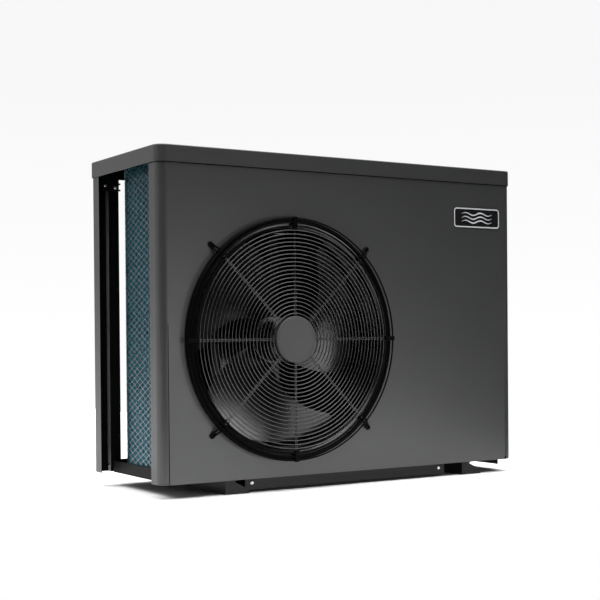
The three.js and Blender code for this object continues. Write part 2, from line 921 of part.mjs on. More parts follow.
// The controller's shell, open towards the panel, with a round hole for each button and two
// hinge ears at its top.
function controllerHousing() {
  const { width, height, depth, wall } = CONTROL;
  const w = width / 2;
  const h = height / 2;
  const shell = cut(
    alongX(roundedShape(-w, w, -h, h, 6), 0, depth),
    alongX(roundedShape(-w + wall, w - wall, -h + wall, h - wall, 3), -wall, depth - wall),
  );
  const hole = (i) =>
    discX(BUTTON.radius + BUTTON.clearance, depth - 2 * wall, depth + wall, 20).translate(
      0,
      (i - 1) * BUTTON.pitch,
      -BUTTON.drop,
    );
  const pinX = depth + 1;
  const pinZ = h + 5;
  const ear = (y) => block(depth - 6, pinX + 4, y - 3, y + 3, h - 4, pinZ + 4);
  const pin = discY(COVER.pinR, -w + 4, w - 4, 16).translate(pinX, 0, pinZ);
  return join(cut(shell, hole(0), hole(1), hole(2)), ear(-w + 6), ear(w - 6), pin);
}

function button() {
  const { depth, wall } = CONTROL;
  const { radius, proud, length } = BUTTON;
  const top = depth + proud;
  const stem = discX(radius, top - length, top, 20);
  const collar = discX(radius + 2, top - length, depth - wall - GAP, 20);
  return join(stem, collar);
}

// The flip cover: a clear plate with a barrel that turns on the housing's pin.
function controllerCover() {
  const { width, height, depth } = CONTROL;
  const w = width / 2 - 11;
  const pinX = depth + 1;
  const pinZ = height / 2 + 5;
  const plateX = depth + 3.6;
  const barrel = discY(COVER.pinR + 2.2, -w, w, 16).translate(pinX, 0, pinZ);
  const plate = block(plateX, plateX + COVER.thick, -w, w, -height / 2 + 4, pinZ);
  const bore = discY(COVER.pinR + COVER.pinClear, -w - 1, w + 1, 16).translate(pinX, 0, pinZ);
  return cut(join(barrel, plate), bore);
}

function displayPlate() {
  const { depth } = CONTROL;
  return alongX(roundedShape(-40, 40, -8, 34, 4), depth + GAP, depth + GAP + 1.2);
}

// The gauge's cup, with a boss at its centre for the needle.
function gaugeBody() {
  const { radius, depth, wall } = GAUGE;
  const inner = radius - wall;
  const floor = depth - 8;
  return facingX(
    turned(
      [
        [0, 0],
        [radius, 0],
        [radius, depth],
        [inner, depth],
        [inner, floor],
        [1.5, floor],
        [1.5, floor + 3.5],
        [0, floor + 3.5],
      ],
      32,
    ),
  );
}

function gaugeNeedle() {
  const floor = GAUGE.depth - 8 + 1;
  const arm = block(floor, floor + 1.2, -0.8, 0.8, -6, 18);
  const hub = discX(4, floor, floor + 1.2, 16);
  return cut(join(arm, hub), discX(1.65, floor - 1, floor + 3, 16));
}

function gaugeLens() {
  return discX(GAUGE.radius - GAUGE.wall - GAP, GAUGE.depth - 2.2, GAUGE.depth - 0.4, 32);
}

// A removable cover over the wiring, with a finger pull along its lower edge.
function serviceCover() {
  const { y0, y1, z0, z1, depth } = SERVICE;
  const plate = alongX(roundedShape(y0, y1, z0, z1, 8), 0, depth);
  const pull = block(0, 8, (y0 + y1) / 2 - 40, (y0 + y1) / 2 + 40, z0 + 10, z0 + 16);
  return join(plate, pull);
}

// Cable gland: the body passes through the rear panel, and its nut turns on it.
function glandBody() {
  const { hole, body, end } = GLAND;
  const bore = 5;
  return turned(
    [
      [bore, BACK - 14],
      [hole, BACK - 14],
      [hole, BACK + GAP],
      [body + 2, BACK + GAP],
      [body + 2, BACK + 6],
      [body - 2, BACK + 6],
      [body - 2, end - 6],
      [bore, end - 6],
      [bore, BACK - 14],
    ],
    20,
  );
}

function glandNut() {
  const { body, nut, end } = GLAND;
  const thread = body - 1.4;
  return turned(
    [
      [thread, BACK + 8],
      [nut, BACK + 8],
      [nut, end - 7],
      [nut - 5, end],
      [6, end],
      [6, end - 5.4],
      [thread, end - 5.4],
      [thread, BACK + 8],
    ],
    12,
  );
}

function drainNozzle() {
  const { bore, outer, bottom } = DRAIN;
  const under = PAN.bottom - GAP;
  return standing(
    turned(
      [
        [bore, bottom],
        [outer - 1.4, bottom],
        [outer - 1.4, under - 4],
        [outer + 6, under - 4],
        [outer + 6, under],
        [bore, under],
        [bore, bottom],
      ],
      20,
    ),
  );
}

function badgePlate() {
  const w = BADGE.width / 2;
  const h = BADGE.height / 2;
  return alongY(roundedShape(-w, w, -h, h, 9), FRONT - GAP - BADGE.thick, FRONT - GAP);
}

// Assembly -----------------------------------------------------------------------------------

place("front_panel", frontPanel(), anthracite());
place("top_lid", topLid(), anthracite());
place("rear_left_post", rearLeftPost(), anthracite());
place("post_bracket", postBracket(), blackSheet());
place("right_side_panel", rightSidePanel(), anthracite());
place("rear_panel", rearPanel(), anthracite());
place("base_pan", basePan(), blackSheet());
place("left_foot", foot(), blackSheet(), -FOOT.webX);
place("right_foot", foot(), blackSheet(), FOOT.webX);
place("front_rail", crossRail(FRONT + RAIL.setBack, 1), blackSheet());
place("rear_rail", crossRail(BACK - RAIL.setBack, -1), blackSheet());
place("badge_plate", badgePlate(), plastic(0x101011), BADGE.x, 0, BADGE.z);

place("bell_mouth", bellMouth(), blackSheet(), FAN.x, 0, FAN.z);
place("fan_guard", fanGuard(), blackSheet(), FAN.x, 0, FAN.z);
place("guard_hub_plate", hubPlate(), plastic(0x55575a), FAN.x, 0, FAN.z);
place("fan_rotor", fanRotor(), plastic(0x1b1b1c), FAN.x, 0, FAN.z);
place("fan_nut", fanNut(), galvanised(), FAN.x, 0, FAN.z);
place("motor_shaft", motorShaft(), galvanised(), FAN.x, 0, FAN.z);
place("fan_motor", fanMotor(), blackSheet(), FAN.x, 0, FAN.z);
place("motor_bracket", motorBracket(), galvanised(), FAN.x);
place("evaporator_coil", coil(), paint(0x1d6f86, 0.35, 0.5));
place("coil_guard", coilGuard(), blackSheet());
place("coil_end_plate_front", coilEndPlateFront(), galvanised());
place("coil_end_plate_right", coilEndPlateRight(), galvanised());

place("partition", partition(), galvanised());
place("compressor", compressor(), blackSheet(), COMPRESSOR.x, COMPRESSOR.y);
[0, 1, 2].forEach((i) =>
  place("compressor_grommet_" + (i + 1), grommet(i), plastic(0x1c1c1c), COMPRESSOR.x, COMPRESSOR.y),
);
place("suction_accumulator", accumulator(), blackSheet(), ACCUMULATOR.x, ACCUMULATOR.y);
place("heat_exchanger", exchanger(), plastic(0x6e7276), EXCHANGER.x, EXCHANGER.y);
place("four_way_valve", fourWayValve(), copper(), VALVE.x, VALVE.y, VALVE.z);
place("expansion_valve", expansionValve(), copper());
place("discharge_pipe", dischargePipe(), copper());
place("suction_pipe", suctionPipe(), copper());
place("gas_pipe", gasPipe(), copper());
place("exchanger_pipe", exchangerPipe(), copper());
place("liquid_pipe", liquidPipe(), copper());
for (const [side, z] of [
  ["inlet", WATER.inletZ],
  ["outlet", WATER.outletZ],
]) {
  place("water_" + side + "_body", unionBody(), plastic(0x3c3f42), WATER.x, 0, z);
  place("water_" + side + "_tail", unionTail(), plastic(0x3c3f42), WATER.x, 0, z);
  place("water_" + side + "_nut", unionNut(), plastic(0x2a2c2e), WATER.x, 0, z);
}
place("electrical_box", electricalBox(), galvanised());
place("electrical_cover", electricalCover(), galvanised());
place("inverter_board", inverterBoard(), plastic(0x1f5a34));

const side = RIGHT + GAP;
place("controller_housing", controllerHousing(), plastic(0x202224), side, CONTROL.y, CONTROL.z);
place("controller_display", displayPlate(), plastic(0x0a0c10), side, CONTROL.y, CONTROL.z);
place("controller_cover", controllerCover(), plastic(0x6a7076), side, CONTROL.y, CONTROL.z);
["down", "power", "up"].forEach((what, i) =>
  place(
    "button_" + what,
    button(),
    plastic(0x8a8f94),
    side,
    CONTROL.y + (i - 1) * BUTTON.pitch,
    CONTROL.z - BUTTON.drop,
  ),
);
place("gauge_body", gaugeBody(), galvanised(), side, GAUGE.y, GAUGE.z);
place("gauge_needle", gaugeNeedle(), plastic(0xa01818), side, GAUGE.y, GAUGE.z);
place("gauge_lens", gaugeLens(), plastic(0xd0d8dc), side, GAUGE.y, GAUGE.z);
place("service_cover", serviceCover(), anthracite(), side);
place("cable_gland", glandBody(), plastic(0x1a1a1b), GLAND.x, 0, GLAND.z);
place("gland_nut", glandNut(), plastic(0x1a1a1b), GLAND.x, 0, GLAND.z);
place("drain_nozzle", drainNozzle(), plastic(0x1a1a1b), DRAIN.x, DRAIN.y);

const extent = new THREE.Box3().setFromObject(casing);
const middle = extent.getCenter(new THREE.Vector3());
casing.position.set(-middle.x, -middle.y, -extent.min.z);

const heatPump = new THREE.Group();
heatPump.add(casing);

export default heatPump;
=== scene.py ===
"""Pool heat pump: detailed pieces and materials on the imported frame, on a white studio floor."""

import json
import math

import bmesh
import bpy
from mathutils import Matrix, Vector

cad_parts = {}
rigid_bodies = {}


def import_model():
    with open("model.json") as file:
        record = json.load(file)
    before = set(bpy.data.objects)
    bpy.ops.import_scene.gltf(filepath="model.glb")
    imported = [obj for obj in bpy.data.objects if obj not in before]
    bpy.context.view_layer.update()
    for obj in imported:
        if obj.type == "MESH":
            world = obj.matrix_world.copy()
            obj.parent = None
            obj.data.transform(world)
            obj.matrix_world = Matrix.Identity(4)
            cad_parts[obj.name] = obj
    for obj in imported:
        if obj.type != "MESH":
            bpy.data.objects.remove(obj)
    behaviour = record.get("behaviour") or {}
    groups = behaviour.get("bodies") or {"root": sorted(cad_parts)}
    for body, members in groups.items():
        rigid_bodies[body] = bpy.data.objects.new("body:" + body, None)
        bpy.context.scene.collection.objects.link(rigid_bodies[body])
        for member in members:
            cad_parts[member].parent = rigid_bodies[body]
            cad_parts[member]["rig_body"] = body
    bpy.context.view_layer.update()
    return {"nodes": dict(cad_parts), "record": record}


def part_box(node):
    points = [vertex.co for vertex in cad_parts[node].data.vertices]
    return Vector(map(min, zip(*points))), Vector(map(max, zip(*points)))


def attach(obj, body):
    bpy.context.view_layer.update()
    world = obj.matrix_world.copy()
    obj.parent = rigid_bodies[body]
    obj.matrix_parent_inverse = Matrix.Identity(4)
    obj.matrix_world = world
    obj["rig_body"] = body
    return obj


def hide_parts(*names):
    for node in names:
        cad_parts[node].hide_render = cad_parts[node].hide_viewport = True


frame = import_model()
RECORD = frame["record"]
SLOT_OF = {part["node"]: part["material_slot"] for part in RECORD["subparts"]}

# Drawing frame: millimetres, with the origin on the floor under the middle of the lid.
LID_LOW, LID_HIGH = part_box("top_lid")
ORIGIN = Vector(((LID_LOW.x + LID_HIGH.x) / 2, (LID_LOW.y + LID_HIGH.y) / 2, 0))
TO_FRAME = Matrix.Translation(ORIGIN) @ Matrix.Scale(0.001, 4)


def span(node):
    """A CAD node's lowest and highest corner in the drawing frame."""
    low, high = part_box(node)
    return (low - ORIGIN) * 1000, (high - ORIGIN) * 1000


LEFT, FRONT, BOTTOM = span("front_panel")[0]
RIGHT, RETURN_END, PANEL_TOP = span("front_panel")[1]
BACK = span("right_side_panel")[1].y
LID_BOTTOM = span("top_lid")[0].z
LID_TOP = span("top_lid")[1].z
SHEET = 1.5
CORNER_R = 20
LID_OVERHANG = 2.5

# Fan axis
PLATE_LOW, PLATE_HIGH = span("guard_hub_plate")
FAN_X = (PLATE_LOW.x + PLATE_HIGH.x) / 2
FAN_Z = (PLATE_LOW.z + PLATE_HIGH.z) / 2
FAN_CENTRE = Vector((FAN_X, 0, FAN_Z))
OPENING_R = 248


# Materials ------------------------------------------------------------------------------------


class Nodes:
    """A material's node tree, with short calls for the nodes that the materials share."""

    def __init__(self, name):
        self.material = bpy.data.materials.new(name)
        self.material.use_nodes = True
        self.tree = self.material.node_tree
        self.shader = self.tree.nodes["Principled BSDF"]
        self.position = self.tree.nodes.new("ShaderNodeTexCoord").outputs["Object"]

    def link(self, source, target):
        self.tree.links.new(source, target)

    def noise(self, scale, detail=2.0, stretch=(1, 1, 1)):
        mapping = self.tree.nodes.new("ShaderNodeMapping")
        mapping.inputs["Scale"].default_value = stretch
        self.link(self.position, mapping.inputs["Vector"])
        noise = self.tree.nodes.new("ShaderNodeTexNoise")
        noise.inputs["Scale"].default_value = scale
        noise.inputs["Detail"].default_value = detail
        self.link(mapping.outputs["Vector"], noise.inputs["Vector"])
        return noise.outputs["Fac"]

    def cells(self, scale):
        cells = self.tree.nodes.new("ShaderNodeTexVoronoi")
        cells.inputs["Scale"].default_value = scale
        self.link(self.position, cells.inputs["Vector"])
        split = self.tree.nodes.new("ShaderNodeSeparateColor")
        self.link(cells.outputs["Color"], split.inputs["Color"])
        return split.outputs["Red"]

    def colour(self, value, low, high, at=(0.3, 0.7)):
        """Base colour between two colours, as a value moves between two levels."""
        ramp = self.tree.nodes.new("ShaderNodeValToRGB")
        for element, place, colour in zip(ramp.color_ramp.elements, at, (low, high)):
            element.position = place
            element.color = (*colour, 1)
        self.link(value, ramp.inputs["Fac"])
        self.link(ramp.outputs["Color"], self.shader.inputs["Base Color"])

    def roughness(self, value, low, high):
        """Roughness between two numbers, as a value moves between the same levels."""
        spread = self.tree.nodes.new("ShaderNodeMapRange")
        spread.inputs["From Min"].default_value = 0.3
        spread.inputs["From Max"].default_value = 0.7
        spread.inputs["To Min"].default_value = low
        spread.inputs["To Max"].default_value = high
        self.link(value, spread.inputs["Value"])
        self.link(spread.outputs["Result"], self.shader.inputs["Roughness"])

    def bump(self, height, strength, distance):
        bump = self.tree.nodes.new("ShaderNodeBump")
        bump.inputs["Strength"].default_value = strength
        bump.inputs["Distance"].default_value = distance
        self.link(height, bump.inputs["Height"])
        self.link(bump.outputs["Normal"], self.shader.inputs["Normal"])

    def set(self, **values):
        for name, value in values.items():
            self.shader.inputs[name.replace("_", " ")].default_value = value


def shade(colour, factor):
    return tuple(min(1.0, c * factor) for c in colour)


def coated(name, colour, rough=0.42, vary=0.1, peel=0.25, grain=700, specular=0.5):
    """Powder coat or moulded plastic: faint mottling, uneven gloss and an orange-peel skin."""
    n = Nodes(name)
    mottle = n.noise(7, 3)
    n.colour(mottle, shade(colour, 1 - vary), shade(colour, 1 + vary))
    n.roughness(n.noise(23, 3), rough - 0.015, rough + 0.015)
    n.bump(n.noise(grain, 2), peel, 0.0002)
    n.set(Specular_IOR_Level=specular)
    return n.material


def bare_metal(name, colour, rough=0.32, cell=70, vary=0.16):
    """Zinc-coated or drawn metal with a faint crystal pattern."""
    n = Nodes(name)
    pattern = n.cells(cell)
    n.colour(pattern, shade(colour, 1 - vary), shade(colour, 1 + vary), (0, 1))
    n.roughness(n.noise(40, 3), rough - 0.06, rough + 0.08)
    n.bump(n.noise(260, 3), 0.12, 0.0002)
    n.set(Metallic=1.0)
    return n.material


def tube_metal(name, colour, rough=0.28):
    """Drawn copper with darker patches of tarnish."""
    n = Nodes(name)
    tarnish = n.noise(38, 4)
    n.colour(tarnish, shade(colour, 0.55), colour, (0.35, 0.6))
    n.roughness(tarnish, rough + 0.15, rough)
    n.bump(n.noise(900, 2), 0.08, 0.0001)
    n.set(Metallic=1.0)
    return n.material


def clear(name):
    """Clear plastic with a trace of surface haze."""
    n = Nodes(name)
    n.colour(n.noise(12, 2), (0.86, 0.9, 0.92), (0.92, 0.95, 0.96))
    n.roughness(n.noise(60, 2), 0.03, 0.09)
    n.set(Transmission_Weight=1.0, IOR=1.46)
    return n.material


def fin_coat(name):
    """Coated aluminium fins: blue-green, with a faint change from fin to fin."""
    n = Nodes(name)
    streak = n.noise(240, 3, (1, 1, 0.02))
    n.colour(streak, (0.03, 0.20, 0.26), (0.07, 0.36, 0.44))
    n.roughness(n.noise(55, 2), 0.26, 0.4)
    n.bump(n.noise(500, 2, (1, 1, 0.2)), 0.15, 0.0002)
    n.set(Metallic=0.75)
    return n.material


MATERIALS = {
    "anthracite_sheet": coated("anthracite_sheet", (0.031, 0.0314, 0.0321), 0.42, 0.03, 0.3, specular=0.8),
    "black_sheet": coated("black_sheet", (0.004, 0.004, 0.0045), 0.36, 0.12, 0.3, specular=0.25),
    "guard_wire": coated("guard_wire", (0.004, 0.004, 0.0045), 0.2, 0.15, 0.1, 1500, 1.0),
    "hub_plate": coated("hub_plate", (0.060, 0.058, 0.061), 0.5, 0.06, 0.35, 1100),
    "galvanised_steel": bare_metal("galvanised_steel", (0.52, 0.53, 0.54)),
    "fan_plastic": coated("fan_plastic", (0.0035, 0.0035, 0.004), 0.19, 0.15, 0.2, 900, 0.9),
    "coil_fins": fin_coat("coil_fins"),
    "coil_mesh": bare_metal("coil_mesh", (0.30, 0.33, 0.36), 0.3, 900, 0.1),
    "compressor_paint": coated("compressor_paint", (0.012, 0.012, 0.013), 0.22, 0.1, 0.2, 350),
    "rubber": coated("rubber", (0.02, 0.02, 0.02), 0.75, 0.15, 0.4, 900, 0.3),
    "copper": tube_metal("copper", (0.78, 0.39, 0.22)),
    "exchanger_plastic": coated("exchanger_plastic", (0.17, 0.18, 0.19), 0.4, 0.05, 0.15, 500),
    "fitting_plastic": coated("fitting_plastic", (0.045, 0.048, 0.053), 0.38, 0.08, 0.2, 800),
    "badge_plastic": coated("badge_plastic", (0.010, 0.010, 0.011), 0.14, 0.05, 0.04, 200),
    "circuit_board": coated("circuit_board", (0.015, 0.10, 0.04), 0.35, 0.25, 0.5, 160),
    "control_plastic": coated("control_plastic", (0.022, 0.024, 0.027), 0.5, 0.06, 0.5, 1400),
    "display_glass": coated("display_glass", (0.006, 0.007, 0.009), 0.07, 0.1, 0.02, 60),
    "clear_cover": clear("clear_cover"),
    "button_plastic": coated("button_plastic", (0.27, 0.29, 0.31), 0.5, 0.05, 0.3, 1200),
    "needle_paint": coated("needle_paint", (0.45, 0.02, 0.02), 0.4, 0.08, 0.1, 900),
}
RIM_BLACK = coated("guard_rim", (0.0025, 0.0025, 0.0027), 0.45, 0.15, 0.15, 1500, 0.03)
BELL_BLACK = coated("bell_black", (0.003, 0.003, 0.0033), 0.22, 0.1, 0.1, 900, 0.9)
PAN_BLACK = coated("pan_black", (0.005, 0.005, 0.0055), 0.5, 0.12, 0.3, 700, 0.08)
# Near-black coat on the casing's inward faces and on the band just under the lid: painted shade.
PAINTED_SHADE_COAT = coated("painted_shade_coat", (0.003, 0.003, 0.0033), 0.6, 0.1, 0.2, 700, 0.05)
# Light grey on the post's step face, which faces left: painted light where the face is lit from the front
# left.
PAINTED_LIGHT_STRIP = coated("painted_light_strip", (0.2, 0.2, 0.205), 0.5, 0.05, 0.2, 700)
# Near black for the coil's inner fins and the sheet through the coil: painted shade inside the unit.
FIN_PAINTED_SHADE = coated("fin_painted_shade", (0.003, 0.008, 0.010), 0.6, 0.2, 0.2, 900, 0.1)
# Zinc darkened to a fifth for the sheet parts inside the casing: painted shade.
ZINC_PAINTED_SHADE = bare_metal("zinc_painted_shade", (0.10, 0.10, 0.105), 0.5, 70, 0.12)
SCREW = bare_metal("screw_zinc", (0.62, 0.62, 0.60), 0.26, 900, 0.08)
WELD = coated("weld_spot", (0.26, 0.26, 0.255), 0.25, 0.2, 0.1, 900)
BADGE_SILVER = coated("badge_silver", (0.62, 0.63, 0.64), 0.3, 0.04, 0.05, 600)
DIAL_WHITE = coated("dial_white", (0.72, 0.72, 0.70), 0.5, 0.03, 0.1, 900)
LABEL_WHITE = coated("label_white", (0.55, 0.55, 0.53), 0.45, 0.06, 0.1, 900)


# Mesh building --------------------------------------------------------------------------------


def add_object(name, data):
    obj = bpy.data.objects.new(name, data)
    bpy.context.scene.collection.objects.link(obj)
    return obj


def add_mesh(name, bm):
    """Moves a bmesh into a new object."""
    mesh = bpy.data.meshes.new(name)
    bm.to_mesh(mesh)
    bm.free()
    return add_object(name, mesh)


def piece(name, bm, body="chassis", nodes=(), slot="", material=None, bevel=0.0, smooth=32):
    """Turns a bmesh drawn in millimetres into a finished piece that rides on a CAD body."""
    bmesh.ops.remove_doubles(bm, verts=bm.verts, dist=0.001)
    bmesh.ops.transform(bm, matrix=TO_FRAME, verts=bm.verts)
    return settle(name, bm, body, nodes, slot, material, bevel, smooth)


def settle(name, bm, body, nodes, slot, material, bevel, smooth):
    """Rounds a piece's edges, shades it smooth up to an angle, and tells the frame about it."""
    for face in bm.faces:
        face.smooth = True
    obj = add_mesh(name, bm)
    if bevel:
        rounding = obj.modifiers.new("edges", "BEVEL")
        rounding.width = bevel / 1000
        rounding.segments = 2
        rounding.limit_method = "ANGLE"
        rounding.angle_limit = math.radians(40)
        rounding.use_clamp_overlap = True
    apply_modifiers(obj)
    mark_sharp(obj.data, math.radians(smooth))
    weighted = obj.modifiers.new("normals", "WEIGHTED_NORMAL")
    weighted.keep_sharp = True
    apply_modifiers(obj)
    slot = slot or SLOT_OF[nodes[0]]
    obj.data.materials.clear()
    obj.data.materials.append(material or MATERIALS[slot])
    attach(obj, body)
    if nodes:
        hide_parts(*nodes)
    return obj


def apply_modifiers(obj):
    """Puts the modifiers' result into the object's own mesh."""
    graph = bpy.context.evaluated_depsgraph_get()
    made = bpy.data.meshes.new_from_object(obj.evaluated_get(graph))
    old = obj.data
    obj.modifiers.clear()
    obj.data = made
    bpy.data.meshes.remove(old)
    made.name = obj.name


def mark_sharp(mesh, limit):
    """Marks the edges that turn by more than an angle, and the open ones, as sharp."""
    bm = bmesh.new()
    bm.from_mesh(mesh)
    for edge in bm.edges:
        edge.smooth = edge.is_manifold and edge.calc_face_angle(0) < limit
    bm.to_mesh(mesh)
    bm.free()


def refined(node, bevel=0.4, smooth=40, material=None):
    """A CAD node's shape with its flat faces merged and its edges rounded."""
    bm = bmesh.new()
    bm.from_mesh(frame["nodes"][node].data)
    bmesh.ops.remove_doubles(bm, verts=bm.verts, dist=2e-6)
    bmesh.ops.dissolve_limit(bm, angle_limit=math.radians(0.5), verts=bm.verts, edges=bm.edges)
    body = frame["nodes"][node]["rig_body"]
    return settle(node + "_v", bm, body, (node,), "", material, bevel, smooth)


def lattice(bm, rows, wrap_rows=False, wrap_columns=False):
    """Quads between rows of points."""
    made = [[bm.verts.new(p) for p in row] for row in rows]
    tall = len(made)
    wide = len(made[0])
    for i in range(tall if wrap_rows else tall - 1):
        for j in range(wide if wrap_columns else wide - 1):
            a, b = made[i], made[(i + 1) % tall]
            k = (j + 1) % wide
            bm.faces.new((a[j], a[k], b[k], b[j]))
    return made


def on_axis(axis, first, second, along):
    """The vector with one component along an axis and two across it."""
    if axis == "X":
        return Vector((along, first, second))
    if axis == "Y":
        return Vector((first, along, second))
    return Vector((first, second, along))


def lathe(bm, profile, segments=96, centre=None, axis="Y"):
    """A closed profile of (radius, height) turned round an axis through centre."""
    centre = centre or FAN_CENTRE
    rows = []
    for i in range(segments):
        a = 2 * math.pi * i / segments
        u, v = math.cos(a), math.sin(a)
        rows.append([centre + on_axis(axis, r * u, r * v, h) for r, h in profile])
    lattice(bm, rows, wrap_rows=True, wrap_columns=True)
    bmesh.ops.remove_doubles(bm, verts=bm.verts, dist=0.0005)
    bmesh.ops.recalc_face_normals(bm, faces=bm.faces)


def tube(bm, points, radius, sides=8):
    """A round tube through points, turned with as little twist as its path allows."""
    points = [Vector(p) for p in points]
    count = len(points)
    rows = []
    normal = None
    for i, p in enumerate(points):
        before = points[max(i - 1, 0)]
        after = points[min(i + 1, count - 1)]
        along = (after - before).normalized()
        if normal is None:
            normal = along.orthogonal().normalized()
        normal = (normal - along * normal.dot(along)).normalized()
        side = along.cross(normal)
        turn = [2 * math.pi * k / sides for k in range(sides)]
        rows.append([p + radius * (normal * math.cos(t) + side * math.sin(t)) for t in turn])
    made = lattice(bm, rows, wrap_columns=True)
    bm.faces.new(list(reversed(made[0])))
    bm.faces.new(made[-1])


def wire_ring(bm, radius, y, wire, segments=160, sides=10):
    """A ring of round wire about the fan's axis."""
    rows = []
    for i in range(segments):
        a = 2 * math.pi * i / segments
        out = Vector((math.cos(a), 0, math.sin(a)))
        turn = [2 * math.pi * k / sides for k in range(sides)]
        middle = FAN_CENTRE + Vector((0, y, 0)) + out * radius
        rows.append([middle + wire * (out * math.cos(t) + Vector((0, math.sin(t), 0))) for t in turn])
    lattice(bm, rows, wrap_rows=True, wrap_columns=True)


def box(bm, low, high):
    """A block between two corners, for a piece whose edges are rounded afterwards."""
    made = bmesh.ops.create_cube(bm, size=1)["verts"]
    low, high = Vector(low), Vector(high)
    for v in made:
        v.co = Vector((low[k] + (v.co[k] + 0.5) * (high[k] - low[k]) for k in range(3)))
    return made


def turn_out(verts, angle, centre):
    """Turns points drawn beyond +X to an angle, in radians, about an axis along Y."""
    u, v = math.cos(angle), math.sin(angle)
    for vert in verts:
        r, across = vert.co.x, vert.co.z
        vert.co = centre + Vector((r * u - across * v, vert.co.y, r * v + across * u))


def prism(bm, outline, low, high, axis="Z"):
    """An outline raised between two heights along an axis."""
    a = [bm.verts.new(on_axis(axis, *p, low)) for p in outline]
    b = [bm.verts.new(on_axis(axis, *p, high)) for p in outline]
    bm.faces.new(list(reversed(a)))
    bm.faces.new(b)
    count = len(outline)
    for i in range(count):
        k = (i + 1) % count
        bm.faces.new((a[i], a[k], b[k], b[i]))
    bmesh.ops.recalc_face_normals(bm, faces=bm.faces)


def fillet(points, radius, steps=5):
    """An open path with its inner corners rounded."""
    points = [Vector(p) for p in points]
    made = [points[0]]
    for before, here, after in zip(points, points[1:], points[2:]):
        back = (before - here).normalized()
        on = (after - here).normalized()
        half = back.angle(on) / 2
        reach = min(radius / math.tan(half), (before - here).length / 2, (after - here).length / 2)
        start, end = here + back * reach, here + on * reach
        for i in range(steps + 1):
            t = i / steps
            made.append(start * (1 - t) ** 2 + here * (2 * t * (1 - t)) + end * t * t)
    made.append(points[-1])
    return made


def folded(bm, path, low, high, axis="Z", thick=SHEET, radius=2.2):
    """A folded sheet whose middle line is the path, drawn between two heights along an axis."""
    line = fillet(path, radius)
    count = len(line)
    left, right = [], []
    for i, p in enumerate(line):
        before = line[max(i - 1, 0)]
        after = line[min(i + 1, count - 1)]
        along = (after - before).normalized()
        across = Vector((-along.y, along.x)) * thick / 2
        left.append(p + across)
        right.append(p - across)
    prism(bm, left + right[::-1], low, high, axis)


def rounded(x0, x1, y0, y1, radius, far=None, steps=8):
    """A rectangle with round corners. Those at y1 can have a radius of their own."""
    far = radius if far is None else far
    corners = [
        (x1 - radius, y0 + radius, radius, -90),
        (x1 - far, y1 - far, far, 0),
        (x0 + far, y1 - far, far, 90),
        (x0 + radius, y0 + radius, radius, 180),
    ]
    made = []
    for cx, cy, r, start in corners:
        for i in range(steps + 1):
            a = math.radians(start + 90 * i / steps)
            made.append(Vector((cx + r * math.cos(a), cy + r * math.sin(a))))
    return made


def thicken(bm, thickness):
    """Gives an open surface a thickness, to the side away from its normals."""
    bmesh.ops.recalc_face_normals(bm, faces=bm.faces)
    bmesh.ops.solidify(bm, geom=bm.faces[:], thickness=thickness)
    bmesh.ops.recalc_face_normals(bm, faces=bm.faces)


# Casing ---------------------------------------------------------------------------------------


def second_coat(obj, material, covers):
    """Puts a second material on the faces that covers(centre, normal) picks, in the drawing frame."""
    obj.data.materials.append(material)
    into = TO_FRAME.inverted()
    for polygon in obj.data.polygons:
        if covers(into @ polygon.center, polygon.normal):
            polygon.material_index = len(obj.data.materials) - 1


# Picks the faces that get the painted shade coat.
def inside(centre, normal):
    """True for a face that looks towards the casing's middle and isn't the lid's lower edge."""
    middle = Vector(((LEFT + RIGHT) / 2, (FRONT + BACK) / 2, PANEL_TOP / 2))
    if abs(normal.z) > 0.9 and abs(centre.z - LID_BOTTOM) < 1:
        return False
    return normal.dot(middle - centre) > 0


# Height of the band under the lid that gets the painted shade coat, standing in for the seam's shadow.
SEAM_SHADE_BAND = 1.7


